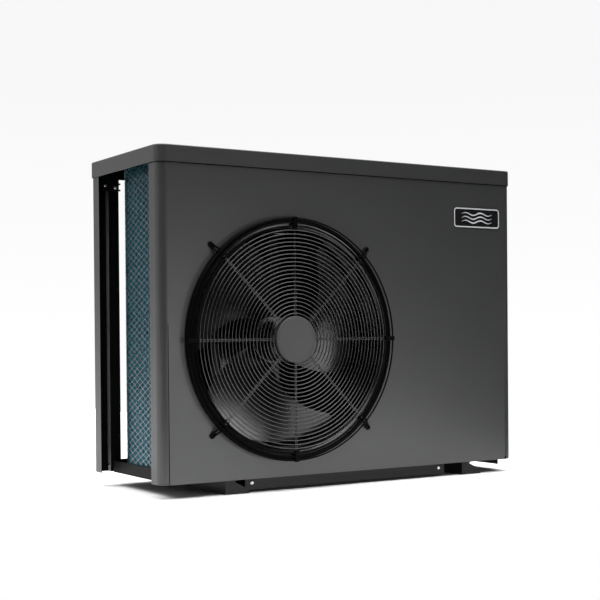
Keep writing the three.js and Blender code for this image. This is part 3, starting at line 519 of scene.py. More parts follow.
def front_panel():
    """The front sheet: a face with a round hole, a large bend at each side and two returns.

    The inward faces and a band just under the lid get a near-black coat: painted shade for the seam's
    shadow and the shaded inside.
    """
    bm = bmesh.new()
    x0, x1 = LEFT + CORNER_R, RIGHT - CORNER_R
    centre = Vector((FAN_X, FRONT, FAN_Z))
    count = 192
    rim, edge = [], []
    for i in range(count):
        a = 2 * math.pi * i / count
        out = Vector((math.cos(a), 0, math.sin(a)))
        reach = min(
            ((x1 if out.x > 0 else x0) - FAN_X) / out.x if abs(out.x) > 1e-9 else 1e9,
            ((PANEL_TOP if out.z > 0 else BOTTOM) - FAN_Z) / out.z if abs(out.z) > 1e-9 else 1e9,
        )
        rim.append(centre + out * OPENING_R + Vector((0, SHEET, 0)))
        edge.append((centre, out, reach))
    rows = [rim]
    for r, inward in ((OPENING_R, 0.9), (OPENING_R + 0.5, 0.3), (OPENING_R + 1.5, 0.0)):
        rows.append([c + o * r + Vector((0, inward, 0)) for c, o, reach in edge])
    for share in (0.0, 0.5, 1.0):
        start = OPENING_R + 6
        rows.append([c + o * (start + (max(reach, start) - start) * share) for c, o, reach in edge])
    lattice(bm, rows, wrap_columns=True)
    bmesh.ops.dissolve_degenerate(bm, dist=0.01, edges=bm.edges)
    for x, turn in ((x0, -1), (x1, 1)):
        for z in (BOTTOM, PANEL_TOP):
            fill_corner(bm, x, z, edge)
        strip = []
        for i in range(13):
            a = math.radians(90 * i / 12)
            strip.append((x + turn * CORNER_R * math.sin(a), FRONT + CORNER_R * (1 - math.cos(a))))
        strip.append((x + turn * CORNER_R, RETURN_END - 3))
        strip.append((x + turn * CORNER_R, RETURN_END))
        lattice(bm, [[Vector((px, py, z)) for px, py in strip] for z in (BOTTOM, PANEL_TOP)])
    bmesh.ops.remove_doubles(bm, verts=bm.verts, dist=0.01)
    cut = LID_BOTTOM - SEAM_SHADE_BAND
    everything = bm.verts[:] + bm.edges[:] + bm.faces[:]
    bmesh.ops.bisect_plane(bm, geom=everything, plane_co=(0, 0, cut), plane_no=(0, 0, 1))
    thicken(bm, SHEET)
    made = piece("front_panel_v", bm, nodes=("front_panel",), smooth=30)
    bends = (LEFT + CORNER_R, RIGHT - CORNER_R)
    # The band under the lid and the inward faces get the painted shade coat: the seam's shadow is painted,
    # not cast.
    second_coat(
        made,
        PAINTED_SHADE_COAT,
        lambda centre, normal: centre.z > cut
        or inside(centre, normal) and min(abs(centre.x - x) for x in bends) > 0.5,
    )


def fill_corner(bm, x, z, edge):
    """The triangle between a corner of the flat face and the last rays on either side of it."""
    reached = [c + o * reach for c, o, reach in edge]
    on_side = min((p for p in reached if abs(p.x - x) < 0.01), key=lambda p: abs(p.z - z))
    on_end = min((p for p in reached if abs(p.z - z) < 0.01), key=lambda p: abs(p.x - x))
    corner = Vector((x, FRONT, z))
    if (on_side - corner).length > 0.01 and (on_end - corner).length > 0.01:
        bm.faces.new([bm.verts.new(p) for p in (corner, on_side, on_end)])


def top_lid():
    """The lid: a flat top with a small bend all round, and a skirt that covers the panels."""
    bm = bmesh.new()
    bend = 3.0
    rows = []
    heights = [(0, LID_BOTTOM), (0, LID_BOTTOM + 2), (0, LID_TOP - bend - 2)]
    heights += [
        (bend * (1 - math.cos(math.radians(a))), LID_TOP - bend + bend * math.sin(math.radians(a)))
        for a in range(0, 91, 18)
    ]
    for inset, z in heights:
        plan = rounded(
            LEFT - LID_OVERHANG + inset,
            RIGHT + LID_OVERHANG - inset,
            FRONT - LID_OVERHANG + inset,
            BACK + LID_OVERHANG - inset,
            CORNER_R + LID_OVERHANG - inset,
            4 - inset,
            12,
        )
        rows.append([Vector((p.x, p.y, z)) for p in plan])
    made = lattice(bm, rows, wrap_columns=True)
    bm.faces.new(made[-1])
    thicken(bm, SHEET)
    made = piece("top_lid_v", bm, nodes=("top_lid",), smooth=30)
    # The lid's inward faces get the painted shade coat.
    second_coat(made, PAINTED_SHADE_COAT, inside)


POST_SIDE = 32
POST_FLANGE = 30
POST_STEP = 16
POST_INNER = 25.5


def rear_left_post():
    """A side face and a rear flange that steps forward, folded from one strip."""
    t = SHEET / 2
    bend = LEFT + POST_FLANGE
    ledge = BACK - POST_STEP
    path = [
        (LEFT + t, BACK - POST_SIDE),
        (LEFT + t, BACK - t),
        (bend + t, BACK - t),
        (bend + t, ledge + t),
        (bend + POST_INNER, ledge + t),
    ]
    bm = bmesh.new()
    folded(bm, path, BOTTOM, PANEL_TOP)
    made = piece("rear_left_post_v", bm, nodes=("rear_left_post",), bevel=0.25)
    # Faces that look to the front or inwards get the painted shade coat, where the recess is in shade.
    second_coat(made, PAINTED_SHADE_COAT, lambda centre, normal: normal.y < -0.5 or normal.x > 0.5)
    # The step's left face gets a lighter grey: painted light, where the face is lit.
    second_coat(made, PAINTED_LIGHT_STRIP, lambda centre, normal: normal.x < -0.9 and centre.x > LEFT + 20)


def screw(bm, place, outward, radius=4.6):
    """A pan-head screw with a cross recess, its head standing on place."""
    outward = Vector(outward).normalized()
    profile = [(0, 2.4), (radius * 0.45, 2.3), (radius * 0.8, 1.7), (radius, 0.7), (radius, 0)]
    turn = outward.to_track_quat("Z", "Y").to_matrix()
    rows = []
    for i in range(20):
        a = 2 * math.pi * i / 20
        ring = [Vector((r * math.cos(a), r * math.sin(a), h)) for r, h in profile[1:]]
        rows.append([Vector(place) + turn @ p for p in ring])
    made = lattice(bm, rows, wrap_rows=True)
    bm.faces.new([row[0] for row in made])
    bm.faces.new([row[-1] for row in reversed(made)])
    for angle in (45, 135):
        a = math.radians(angle)
        along = Vector((math.cos(a), math.sin(a), 0))
        side = Vector((-along.y, along.x, 0))
        reach, half = radius * 0.5, radius * 0.11
        corners = [along * s * reach + side * w * half for s, w in ((-1, -1), (1, -1), (1, 1), (-1, 1))]
        top = [bm.verts.new(Vector(place) + turn @ (c + Vector((0, 0, 2.36)))) for c in corners]
        bm.faces.new(top)


def screws():
    """The screws of the rails, the side and rear panels, the service cover and the post."""
    bm = bmesh.new()
    rail = span("front_rail")[0].y
    for x in (-253, 253):
        screw(bm, (x, rail, 21), (0, -1, 0))
    rear = span("rear_rail")[1].y
    for x in (-253, 253):
        screw(bm, (x, rear, 21), (0, 1, 0))
    piece("rail_screws", bm, slot="galvanised_steel", material=SCREW)
    bm = bmesh.new()
    for x in (RIGHT - 13, span("rear_panel")[0].x + 14):
        for z in (90, 380, 650):
            screw(bm, (x, BACK, z), (0, 1, 0))
    for z in (60, 360, 650):
        screw(bm, (RIGHT, RETURN_END + 14, z), (1, 0, 0))
    service = span("service_cover")
    for y in (service[0].y + 10, service[1].y - 10):
        for z in (service[0].z + 30, service[1].z - 12):
            screw(bm, (RIGHT + 2.4, y, z), (1, 0, 0), 4)
    piece("panel_screws", bm, slot="galvanised_steel", material=SCREW)
    bm = bmesh.new()
    plate = span("post_bracket")[0].y
    screw(bm, (LEFT + 22.5, plate, 670), (0, -1, 0), 4)
    screw(bm, (LEFT + 47.5, plate, 666), (0, -1, 0), 4)
    screw(bm, (LEFT + POST_FLANGE, BACK - 8, 44), (-1, 0, 0), 4)
    piece("post_screws", bm, slot="galvanised_steel", material=SCREW)


# Coil -----------------------------------------------------------------------------------------

COIL_LOW, COIL_HIGH = span("evaporator_coil")
COIL_INSET = COIL_LOW.x - LEFT
COIL_BEND = 70
COIL_THICK = 38


class BentLine:
    """A line in plan along the left end, round the rear left corner and along the back."""

    def __init__(self, inset, bend, start, end):
        self.x = LEFT + inset
        self.y = BACK - inset
        self.bend = bend
        self.start = start
        self.side = self.y - bend - start
        self.arc = bend * math.pi / 2
        self.back = end - (self.x + bend)
        self.length = self.side + self.arc + self.back
        bend_steps = 8
        self.stations = [0, self.side]
        self.stations += [self.side + self.arc * k / bend_steps for k in range(1, bend_steps + 1)]
        self.stations.append(self.length)

    def at(self, s, depth=0.0):
        """The point at length s, moved inwards by depth, and the direction along the line."""
        if s <= self.side:
            return Vector((self.x + depth, self.start + s, 0)), Vector((0, 1, 0))
        if s <= self.side + self.arc:
            a = math.pi - (s - self.side) / self.bend
            r = self.bend - depth
            middle = Vector((self.x + self.bend, self.y - self.bend, 0))
            out = Vector((math.cos(a), math.sin(a), 0))
            return middle + out * r, Vector((math.sin(a), -math.cos(a), 0))
        on = s - self.side - self.arc
        return Vector((self.x + self.bend + on, self.y - depth, 0)), Vector((1, 0, 0))


def coil():
    """Thin fins across the coil's path, on two rows of copper tubes with bends at the front.

    The inner part of each fin and a thin sheet between the tube rows are near black: painted shade for the
    unlit inside of the coil.
    """
    line = BentLine(COIL_INSET, COIL_BEND, COIL_LOW.y, COIL_HIGH.x)
    bm = bmesh.new()
    dark = bmesh.new()
    pitch = 2.5
    half = 0.25
    # Share of each fin's depth in its own colour; the rest is painted shade.
    teal_share = 0.6
    count = int(line.length / pitch)
    for i in range(count):
        s = line.length * (i + 0.5) / count
        outer, along = line.at(s)
        inner, _ = line.at(s, COIL_THICK)
        middle, _ = line.at(s, COIL_THICK * teal_share)
        side = along * half
        corners = [outer - side, outer + side, middle + side, middle - side]
        prism_between(bm, corners, COIL_LOW.z, COIL_HIGH.z)
        corners = [middle - side, middle + side, inner + side, inner - side]
        prism_between(dark, corners, COIL_LOW.z, COIL_HIGH.z)
    piece("evaporator_fins", bm, nodes=("evaporator_coil",))
    # A thin near-black sheet through the coil between the tube rows: painted shade that also stops light.
    shade_sheet_segments = 160
    lengths = [line.length * k / shade_sheet_segments for k in range(shade_sheet_segments + 1)]
    band(dark, line, lengths, (18.7, 19.3), COIL_LOW.z, COIL_HIGH.z)
    piece("evaporator_fins_painted_shade", dark, slot="coil_fins", material=FIN_PAINTED_SHADE)
    bm = bmesh.new()
    tube_pitch, tube_radius, levels_up = 25.4, 4, 25
    levels = [COIL_LOW.z + 14 + tube_pitch * i for i in range(levels_up)]
    for depth in (9.5, 28.5):
        for z in levels:
            path = [line.at(s, depth)[0] + Vector((0, 0, z)) for s in line.stations]
            path[0].y -= 4
            tube(bm, path, tube_radius)
        for z in levels[0:-1:2]:
            tube(bm, return_bend(line.at(0, depth)[0], z, tube_pitch), tube_radius)
    piece("evaporator_tubes", bm, slot="copper", smooth=50)


def return_bend(start, z, pitch):
    """A half circle of tube at the coil's front end, from one level to the next."""
    made = []
    for i in range(11):
        a = math.pi * i / 10
        lift = pitch / 2 * (1 - math.cos(a))
        made.append(Vector((start.x, start.y - 3 - pitch / 2 * math.sin(a), z + lift)))
    return made


def prism_between(bm, corners, z0, z1):
    """An upright block on four corners in plan."""
    low = [bm.verts.new((p.x, p.y, z0)) for p in corners]
    high = [bm.verts.new((p.x, p.y, z1)) for p in corners]
    bm.faces.new(low[::-1])
    bm.faces.new(high)
    for i in range(4):
        k = (i + 1) % 4
        bm.faces.new((low[i], low[k], high[k], high[i]))


def band(bm, line, lengths, depths, z0, z1):
    """A strip of sheet along a bent line, between two depths and two heights."""
    outer, inner = depths
    for s, t in zip(lengths, lengths[1:]):
        a, b = line.at(s, outer)[0], line.at(t, outer)[0]
        c, d = line.at(t, inner)[0], line.at(s, inner)[0]
        prism_between(bm, [a, b, c, d], z0, z1)


def coil_guard():
    """The expanded-metal guard: thin strands between knots, each knot a small tilted plate."""
    low, high = span("coil_guard")
    line = BentLine(low.x - LEFT, 72, COIL_LOW.y, high.x)
    cell = Vector((26, 14))
    columns = int(line.length / (cell.x / 2))
    rows = int((high.z - low.z) / (cell.y / 2))
    bm = bmesh.new()

    def lattice_point(i, j):
        p, _ = line.at(min(i * line.length / columns, line.length), 0.75)
        return p + Vector((0, 0, low.z + j * (high.z - low.z) / rows))

    for i in range(columns):
        _, along = line.at((i + 0.5) * line.length / columns)
        inward = Vector((along.y, -along.x, 0))
        for j in range(rows):
            rising = (i + j) % 2 == 0
            a = lattice_point(i, j if rising else j + 1)
            b = lattice_point(i + 1, j + 1 if rising else j)
            strand(bm, a, b, inward)
            if rising:
                knot(bm, a, along, inward)
    piece("coil_guard_mesh", bm, nodes=("coil_guard",), smooth=20)
    bm = bmesh.new()
    hem = 6
    band(bm, line, line.stations, (0.2, 1.4), low.z, low.z + hem)
    piece("coil_guard_hem", bm, slot="coil_mesh")


def strand(bm, a, b, inward):
    """One thin strand of the mesh, from knot to knot."""
    up = Vector((0, 0, 1))
    half = 0.55
    corners = []
    for p in (a, b):
        corners.append(
            [
                p - up * half - inward * 0.5,
                p + up * half - inward * 0.5,
                p + up * half + inward * 0.5,
                p - up * half + inward * 0.5,
            ]
        )
    lattice(bm, corners, wrap_columns=True)


def knot(bm, place, along, inward):
    """The wide part where two strands meet, tilted so that its lower edge stands out."""
    up = Vector((0, 0, 1))
    tilt = (up * 1.9 + inward * 0.6, up * -1.9 - inward * 0.6)
    thick = inward * 0.25
    rows = []
    for side in (-1, 1):
        top, low = place + tilt[0], place + tilt[1]
        rows.append([p + thick * side for p in (place - along * 4.4, top, place + along * 4.4, low)])
    made = lattice(bm, rows, wrap_columns=True)
    bm.faces.new(made[0][::-1])
    bm.faces.new(made[1])


# Air side -------------------------------------------------------------------------------------

GUARD_LOW = span("fan_guard")[0]
WIRE = 1.15
RIM_WIRE = 1.75
FACE = GUARD_LOW.y + RIM_WIRE
RING_OUTER = 258.5
RING_PITCH = 8.45
RINGS = 25
RIM_RINGS = 3


def polar(radius, angle, across=0.0, y=0.0):
    """A point at a radius and an angle in degrees about the fan's axis, moved across the ray."""
    a = math.radians(angle)
    out = Vector((math.cos(a), 0, math.sin(a)))
    side = Vector((-math.sin(a), 0, math.cos(a)))
    return Vector((FAN_X, y, FAN_Z)) + out * radius + side * across


def fan_guard():
    """Concentric wires on eight doubled spokes, four clips, and four loops screwed to the panel."""
    bm = bmesh.new()
    for i in range(RIM_RINGS, RINGS):
        wire_ring(bm, RING_OUTER - RING_PITCH * i, FACE, WIRE, 192 if i < 14 else 128)
    behind = FACE + 2 * WIRE
    for k in range(8):
        angle = 45 * k
        inner, outer, apart = 51, 246, 1.7
        path = [polar(inner, angle, -apart, behind), polar(outer - 3, angle, -apart, behind)]
        path += [polar(outer - 1, angle, -apart * 0.7, behind), polar(outer, angle, 0, behind)]
        path += [polar(outer - 1, angle, apart * 0.7, behind), polar(outer - 3, angle, apart, behind)]
        path.append(polar(inner, angle, apart, behind))
        tube(bm, path, WIRE, 8)
    piece("fan_guard_wires", bm, nodes=("fan_guard",), smooth=60)
    bm = bmesh.new()
    for i in range(RIM_RINGS):
        wire_ring(bm, RING_OUTER - RING_PITCH * i, FACE, RIM_WIRE, 192)
    for k in range(4):
        hook(bm, 45 + 90 * k)
    piece("fan_guard_rim", bm, slot="guard_wire", material=RIM_BLACK, smooth=60)
    bm = bmesh.new()
    for k in range(8):
        for i in range(RIM_RINGS, RINGS):
            r = RING_OUTER - RING_PITCH * i
            for across in (-1.7, 1.7):
                bead(bm, polar(r, 45 * k, across, FACE + 0.3), 1.5)
    piece("guard_weld_spots", bm, slot="guard_wire", material=WELD, smooth=80)
    bm = bmesh.new()
    for k in range(4):
        clip(bm, 90 * k)
    piece("guard_clips", bm, slot="guard_wire", material=RIM_BLACK, bevel=1.4)


def hook(bm, angle):
    """A hairpin of wire that steps back from the rings to lie on the panel."""
    wire = 2.3
    half = 3.6
    end = 280
    top = FACE + RIM_WIRE + wire
    foot = FRONT - wire - 0.3
    leg = [(236, top), (261, top), (266, top + 2.5), (271, foot - 2), (275, foot), (end, foot)]
    path = [polar(r, angle, -half, y) for r, y in leg]
    for i in range(1, 8):
        a = math.radians(-90 + 180 * i / 8)
        path.append(polar(end + half * math.cos(a), angle, half * math.sin(a), foot))
    path += [polar(r, angle, half, y) for r, y in reversed(leg)]
    tube(bm, path, wire, 10)


def bead(bm, place, radius):
    """A small flattened bead of weld."""
    made = bmesh.ops.create_icosphere(bm, subdivisions=1, radius=radius)["verts"]
    for v in made:
        v.co = Vector((v.co.x, v.co.y * 0.8, v.co.z)) + place


def clip(bm, angle):
    """A clamp over the three outer rings and the end of a spoke."""
    inner, outer, half = 237, 262, 5
    before, behind = FACE - 3.4, FACE + 4.2
    made = box(bm, (inner, before, -half), (outer, behind, half))
    turn_out(made, math.radians(angle), FAN_CENTRE)


def guard_screws():
    bm = bmesh.new()
    for k in range(4):
        screw(bm, polar(274, 45 + 90 * k, 0, FRONT - 0.4), (0, -1, 0), 4.6)
    piece("guard_screws", bm, slot="guard_wire", material=RIM_BLACK)


def hub_plate():
    """The round plate at the guard's centre, with a shallow dish inside a rolled rim."""
    front = PLATE_LOW.y
    back = PLATE_HIGH.y
    profile = [
        (0, front + 1.6),
        (40.5, front + 1.6),
        (43, front + 1.3),
        (45, front + 0.5),
        (47, front),
        (48.8, front + 0.5),
        (49.8, front + 2),
        (50, front + 5),
        (50, back),
        (0, back),
    ]
    bm = bmesh.new()
    lathe(bm, profile, 128)
    piece("guard_hub_plate_v", bm, nodes=("guard_hub_plate",), smooth=50)


def bell_mouth():
    """The black ring on the panel round its hole, rolled inwards to a straight throat."""
    low, high = span("bell_mouth")
    face, end = low.y, high.y
    rim = (high.x - low.x) / 2
    mouth, throat, wall, bend = 250, 232, 2, 24
    seat = FRONT - 0.4
    behind = math.acos(1 - (seat - face) / bend)

    def roll(start, extra):
        steps = 12
        made = []
        for i in range(steps + 1):
            a = start + (math.pi / 2 - start) * i / steps
            radius = mouth - (mouth - throat) * math.sin(a) + extra
            made.append((radius, face + bend * (1 - math.cos(a))))
        return made

    edge = [(rim, seat), (rim, face + 3.5), (rim - 0.6, face + 1.8), (rim - 2, face + 0.6), (rim - 4, face)]
    profile = [*edge, *roll(0, 0), (throat, end), (throat + wall, end), *roll(behind, wall)[::-1]]
    bm = bmesh.new()
    lathe(bm, profile, 192)
    made = piece("bell_mouth_v", bm, nodes=("bell_mouth",), material=BELL_BLACK, smooth=35)
    second_coat(
        made, RIM_BLACK, lambda centre, normal: math.hypot(centre.x - FAN_X, centre.z - FAN_Z) > mouth - 3
    )


def fan_label():
    """A small plain sticker on the bell's throat, above the axis."""
    bm = bmesh.new()
    rows = []
    for radius in (229.2, 229.8):
        row = []
        for y, sign in ((-128, 1), (-112, -1)):
            for i in range(7):
                row.append(polar(radius, 90 + sign * (i - 3) * 1.2, 0, y))
        rows.append(row)
    lattice(bm, rows, wrap_columns=True)
    for row in rows:
        bm.faces.new([bm.verts.new(p) for p in row])
    bmesh.ops.recalc_face_normals(bm, faces=bm.faces)
    piece("throat_label", bm, slot="galvanised_steel", material=LABEL_WHITE)


HUB_FRONT = span("fan_nut")[1].y + 0.4
HUB_R = 54
TIP_R = 225

# A blade's values at its root and at its tip: the angles of its two edges, in degrees, the place
# of its middle line along the axis, half its travel along the axis, and its thickness.
LOWER_EDGE = (-42, -20)
UPPER_EDGE = (15, 73)
MIDDLE_LINE = (-78, -101)
HALF_TRAVEL = (14, 33)
THICKNESS = (2.9, 1.7)
EDGE_THICKNESS = 0.5
CAMBER = 6


def between(ends, share):
    return ends[0] + (ends[1] - ends[0]) * share


def blade_point(u, w, side):
    """A point on a blade, u from root to tip and w from its lower edge to its upper one."""
    radius = between((HUB_R - 8, TIP_R), u)
    angle = between((between(LOWER_EDGE, u), between(UPPER_EDGE, u)), w)
    v = 2 * w - 1
    thick = between(THICKNESS, u) * math.sqrt(max(0.0, 1 - v**4)) + EDGE_THICKNESS
    slope = between(HALF_TRAVEL, math.sqrt(u)) * v
    y = between(MIDDLE_LINE, u) - slope + CAMBER * (1 - v * v) + side * thick / 2
    return radius, angle, y


def fan_rotor():
    """A moulded hub with a recessed front and three wide, swept blades."""
    bm = bmesh.new()
    back = HUB_FRONT + 30
    profile = [
        (6.5, HUB_FRONT),
        (16, HUB_FRONT),
        (17, HUB_FRONT + 3),
        (30, HUB_FRONT + 4),
        (46, HUB_FRONT + 2.5),
        (48, HUB_FRONT + 0.4),
        (50.5, HUB_FRONT),
        (52.5, HUB_FRONT + 1.2),
        (54, HUB_FRONT + 5),
        (54, back),
        (6.5, back),
    ]
    lathe(bm, profile, 96)
    for k in range(3):
        blade(bm, 120 * k)
    for k in range(8):
        rib(bm, 22.5 + 45 * k)
    piece("fan_rotor_v", bm, body="fan", nodes=("fan_rotor",), smooth=50)


def blade(bm, turn):
    outwards, across = 28, 28
    sides = []
    for side in (-1, 1):
        rows = []
        for i in range(outwards + 1):
            u = i / outwards
            row = []
            for j in range(across + 1):
                w = rounded_share(u, j / across)
                radius, angle, y = blade_point(u, w, side)
                row.append(polar(radius, angle + turn, 0, y))
            rows.append(row)
        sides.append(lattice(bm, rows))
    front, rear = sides
    loop_front = edge_loop(front)
    loop_rear = edge_loop(rear)
    count = len(loop_front)
    for i in range(count):
        k = (i + 1) % count
        bm.faces.new((loop_front[i], loop_front[k], loop_rear[k], loop_rear[i]))
    bmesh.ops.recalc_face_normals(bm, faces=bm.faces)


def rounded_share(u, w):
    """Draws the blade's corners in near its tip, so that its outline is round there."""
    pull = 0.1 * max(0.0, (u - 0.82) / 0.18) ** 2
    return pull + (1 - 2 * pull) * w


def edge_loop(grid):
    """The vertices round a grid's edge, in order."""
    top = grid[0]
    end = grid[-1]
    right = [row[-1] for row in grid[1:-1]]
    left = [row[0] for row in grid[1:-1]]
    return top + right + end[::-1] + left[::-1]


def rib(bm, angle):
    """A stiffening rib across the hub's recess."""
    inner, outer, half = 16, 48, 1
    made = box(bm, (inner, HUB_FRONT + 0.8, -half), (outer, HUB_FRONT + 5, half))
    turn_out(made, math.radians(angle), FAN_CENTRE)


# Badge ----------------------------------------------------------------------------------------


def badge():
    """A black plate with a thin silver border and three plain wavy lines."""
    low, high = span("badge_plate")
    y0, y1 = low.y, high.y
    bm = bmesh.new()
    prism(bm, rounded(low.x, high.x, low.z, high.z, 9), y0 + 0.3, y1, "Y")
    piece("badge_plate_v", bm, nodes=("badge_plate",), bevel=0.5)
    bm = bmesh.new()
    rows = []
    for inset, y in ((0.6, y0 + 0.5), (0.9, y0), (3.3, y0), (3.6, y0 + 0.5)):
        plan = rounded(low.x + inset, high.x - inset, low.z + inset, high.z - inset, 9 - inset)
        rows.append([Vector((p.x, y, p.y)) for p in plan])
    lattice(bm, rows, wrap_rows=True, wrap_columns=True)
    middle = (low + high) / 2
    for k in (-1, 0, 1):
        wave_line(bm, middle.x, middle.z + 9 * k, y0)
    bmesh.ops.recalc_face_normals(bm, faces=bm.faces)
    piece("badge_border", bm, slot="badge_plastic", material=BADGE_SILVER)


def wave_line(bm, x, z, y):
    """One raised wave, thicker in the middle than at its ends."""
    rows = []
    count = 48
    for i in range(count + 1):
        t = i / count
        px = x + 92 * (t - 0.5)
        pz = z + 3 * math.sin(2 * math.pi * 2 * t)
        half = 0.4 + 1.3 * math.sin(math.pi * t)
        rows.append(
            [
                Vector((px, y + 0.5, pz - half)),
                Vector((px, y, pz - half + 0.2)),
                Vector((px, y, pz + half - 0.2)),
                Vector((px, y + 0.5, pz + half)),
            ]
        )
    lattice(bm, rows, wrap_columns=True)


# Fittings -------------------------------------------------------------------------------------


def gauge_dial():
    """The dial's white face with its ticks, behind the needle."""
    low, high = span("gauge_body")
    middle = (low + high) / 2
    floor = high.x - 8
    centre = Vector((0, middle.y, middle.z))
    bore, rim = 2.2, 24
    back, front = floor + 0.05, floor + 0.35
    bm = bmesh.new()
    lathe(bm, [(bore, back), (rim, back), (rim, front), (bore, front)], 64, centre, "X")
    piece("gauge_dial", bm, slot="button_plastic", material=DIAL_WHITE)
    ticks, start, step, outer = 27, -40, 10, 22.5
    base = centre + Vector((floor + 0.4, 0, 0))
    bm = bmesh.new()
    for i in range(ticks):
        angle = math.radians(start + step * i)
        inner, half = (17, 0.45) if i % 5 == 0 else (19.5, 0.22)
        out = Vector((0, math.cos(angle), math.sin(angle)))
        side = Vector((0, -out.z, out.y))
        corners = [(inner, -half), (outer, -half), (outer, half), (inner, half)]
        rows = [
            [base + Vector((h, 0, 0)) + out * r + side * w for r, w in corners] for h in (0, 0.12)
        ]
        made = lattice(bm, rows, wrap_columns=True)
        bm.faces.new(made[0][::-1])
        bm.faces.new(made[1])
    piece("gauge_ticks", bm, slot="badge_plastic")


def nut_lugs(node, body):
    """Grip lugs round a union nut."""
    low, high = span(node)
    centre = Vector(((low.x + high.x) / 2, 0, (low.z + high.z) / 2))
    radius = (high.x - low.x) / 2
    lugs, sunk, proud, half = 10, 3, 2.6, 3.2
    bm = bmesh.new()
    for k in range(lugs):
        made = box(bm, (radius - sunk, low.y + 1.5, -half), (radius + proud, high.y - 4, half))
        turn_out(made, 2 * math.pi * k / lugs, centre)
    piece(node + "_lugs", bm, body=body, slot="fitting_plastic", bevel=0.9)


def fittings():
    gauge_dial()
    nut_lugs("water_inlet_nut", "inlet_nut")
    nut_lugs("water_outlet_nut", "outlet_nut")


# The rest of the CAD's shapes, with rounded edges ----------------------------------------------

# Each edge radius in millimetres, with the nodes that have it.
EDGES = {
    0.15: ("gauge_needle",),
    0.3: (
        "post_bracket", "rear_panel", "coil_end_plate_front", "coil_end_plate_right", "partition",
        "controller_display", "gauge_lens",
    ),
    0.4: (
        "right_side_panel", "base_pan", "motor_bracket", "electrical_box", "electrical_cover",
        "controller_cover", "drain_nozzle",
    ),
    0.5: (
        "front_rail", "rear_rail", "motor_shaft", "inverter_board", "button_down", "button_power",
        "button_up", "gauge_body", "service_cover", "cable_gland", "gland_nut",
    ),
    0.6: (
        "left_foot", "right_foot", "fan_nut", "water_inlet_body", "water_inlet_tail",
        "water_outlet_body", "water_outlet_tail",
    ),
    0.7: ("controller_housing",),
    0.8: ("four_way_valve", "expansion_valve", "water_inlet_nut", "water_outlet_nut"),
    1: ("compressor_grommet_1", "compressor_grommet_2", "compressor_grommet_3"),
    1.5: ("fan_motor", "suction_accumulator", "heat_exchanger"),
    2: ("compressor",),
}
# Materials other than a slot's own: the base pan's real black, and the darkened zinc on the inner sheet
# parts, which is painted shade.
COATS_AND_PAINTED_SHADE = {
    "motor_bracket": ZINC_PAINTED_SHADE,
    "partition": ZINC_PAINTED_SHADE,
    "coil_end_plate_front": ZINC_PAINTED_SHADE,
    "coil_end_plate_right": ZINC_PAINTED_SHADE,
    "base_pan": PAN_BLACK,
}
CARRIED = ["discharge_pipe", "suction_pipe", "gas_pipe", "exchanger_pipe", "liquid_pipe"]


def carried(node):
    """A CAD node that shows as it is, with the material of its slot."""
    mesh = frame["nodes"][node]
    mesh.data.materials.clear()
    mesh.data.materials.append(MATERIALS[SLOT_OF[node]])
    for polygon in mesh.data.polygons:
        polygon.use_smooth = True


# Studio ---------------------------------------------------------------------------------------


# Metres, in the frame's own axes, except the camera's place, which is in the drawing frame.
FLOOR_CARDS = ((-3.0, 0.68, -0.6, 4.0), (0.22, 0.68, -1.5, -0.6))
FLOOR_SHADES = ((0.93, 0.93, 0.93), (0.95, 0.95, 0.95))
CEILING_START, CEILING_END, CEILING_LIGHT = 0.55, 0.95, 5.0
BACK_LEFT = Vector((-0.6, 0.8, 0))
WALL_START, WALL_END, WALL_LIGHT = 0.1, 0.9, 0.5
ROOM_LIGHT = 0.03
BACKDROP_LOW, BACKDROP_HIGH = 1.0, 0.935
CAMERA_PLACE = Vector((-1587.4, -2389.1, 335.7))
CAMERA_YAW, CAMERA_PITCH, CAMERA_ROLL = (math.radians(angle) for angle in (31.25, -0.60, 0.49))
CAMERA_LENS = 74.0
CAMERA_SHIFT = (0.0667, 0.0777)


def floor():
    """The white floor: one card under the unit, and one that reaches further in front of it."""
    bm = bmesh.new()
    for x0, x1, y0, y1 in FLOOR_CARDS:
        bm.faces.new([bm.verts.new(p) for p in ((x0, y0, 0), (x1, y0, 0), (x1, y1, 0), (x0, y1, 0))])
    obj = add_mesh("studio_floor", bm)
    n = Nodes("studio_floor")
    n.colour(n.noise(3, 2), *FLOOR_SHADES)
    n.set(Roughness=0.9, Specular_IOR_Level=0.1)
    obj.data.materials.append(n.material)


def light(name, kind, place, target, power):
    """A light at a place, turned towards target. Its shape is set by the caller."""
    data = bpy.data.lights.new(name, kind)
    data.energy = power
    obj = add_object(name, data)
    obj.location = place
    obj.rotation_euler = (Vector(target) - Vector(place)).to_track_quat("-Z", "Y").to_euler()
    return data


def low_softbox():
    """A soft rectangle near the floor, which brightens the panel's lower left."""
    box_light = light("low_box", "AREA", place=(0.42, -1.9, 0.2), target=(-0.25, -0.15, 0.3), power=5.5)
    box_light.shape = "RECTANGLE"
    box_light.size = 0.75
    box_light.size_y = 0.45


def floor_pool():
    """A soft-edged spot on the floor in front of the fan, which lights the blades from below."""
    spot = light("floor_pool", "SPOT", place=(0.45, -0.85, 2.3), target=(0.45, -0.85, 0), power=260)
    spot.spot_size = math.radians(20)
    spot.spot_blend = 1.0
    spot.shadow_soft_size = 0.2


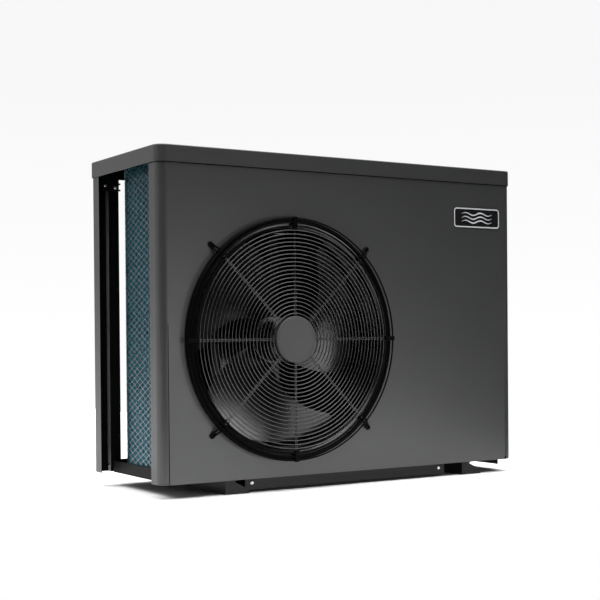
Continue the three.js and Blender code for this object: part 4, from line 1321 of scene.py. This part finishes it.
def sky(world):
    """White behind the unit, with light from a ceiling and, more weakly, from behind the left."""
    world.use_nodes = True
    tree = world.node_tree
    link = tree.links.new
    direction = tree.nodes.new("ShaderNodeTexCoord").outputs["Generated"]
    split = tree.nodes.new("ShaderNodeSeparateXYZ")
    link(direction, split.inputs["Vector"])
    height = split.outputs["Z"]
    toward = tree.nodes.new("ShaderNodeVectorMath")
    toward.operation = "DOT_PRODUCT"
    toward.inputs[1].default_value = BACK_LEFT
    link(direction, toward.inputs[0])

    def share(value, start, end, low, high, smooth=True):
        node = tree.nodes.new("ShaderNodeMapRange")
        node.interpolation_type = "SMOOTHSTEP" if smooth else "LINEAR"
        for name, number in zip(("From Min", "From Max", "To Min", "To Max"), (start, end, low, high)):
            node.inputs[name].default_value = number
        link(value, node.inputs["Value"])
        return node.outputs["Result"]

    ceiling = share(height, CEILING_START, CEILING_END, ROOM_LIGHT, CEILING_LIGHT)
    wall = share(toward.outputs["Value"], WALL_START, WALL_END, 0.0, WALL_LIGHT)
    backdrop = share(height, 0.0, 0.2, BACKDROP_LOW, BACKDROP_HIGH, smooth=False)
    both = tree.nodes.new("ShaderNodeMath")
    link(ceiling, both.inputs[0])
    link(wall, both.inputs[1])
    seen = tree.nodes.new("ShaderNodeMix")
    link(tree.nodes.new("ShaderNodeLightPath").outputs["Is Camera Ray"], seen.inputs["Factor"])
    link(both.outputs["Value"], seen.inputs["A"])
    link(backdrop, seen.inputs["B"])
    background = tree.nodes["Background"]
    background.inputs["Color"].default_value = (1, 1, 1, 1)
    link(seen.outputs["Result"], background.inputs["Strength"])


def studio():
    floor()
    low_softbox()
    floor_pool()
    scene = bpy.context.scene
    scene.world = bpy.data.worlds.new("studio")
    sky(scene.world)
    scene.view_settings.view_transform = "Standard"


def camera():
    """The camera that sees the front from its left, level with the unit's middle."""
    forward = Vector(
        (
            math.sin(CAMERA_YAW) * math.cos(CAMERA_PITCH),
            math.cos(CAMERA_YAW) * math.cos(CAMERA_PITCH),
            math.sin(CAMERA_PITCH),
        )
    )
    level = Vector((math.cos(CAMERA_YAW), -math.sin(CAMERA_YAW), 0))
    down = forward.cross(level)
    right = math.cos(CAMERA_ROLL) * level + math.sin(CAMERA_ROLL) * down
    below = -math.sin(CAMERA_ROLL) * level + math.cos(CAMERA_ROLL) * down
    turn = Matrix((right, -below, -forward)).transposed().to_4x4()
    data = bpy.data.cameras.new("camera")
    data.lens = CAMERA_LENS
    data.sensor_width = 36.0
    data.shift_x, data.shift_y = CAMERA_SHIFT
    data.clip_end = 200
    obj = add_object("camera", data)
    obj.matrix_world = Matrix.Translation(TO_FRAME @ CAMERA_PLACE) @ turn
    bpy.context.scene.camera = obj


camera()
studio()
front_panel()
top_lid()
rear_left_post()
screws()
coil()
coil_guard()
fan_guard()
guard_screws()
hub_plate()
bell_mouth()
fan_label()
fan_rotor()
badge()
fittings()
for width, names in EDGES.items():
    for node in names:
        refined(node, width, material=COATS_AND_PAINTED_SHADE.get(node))
for node in CARRIED:
    carried(node)
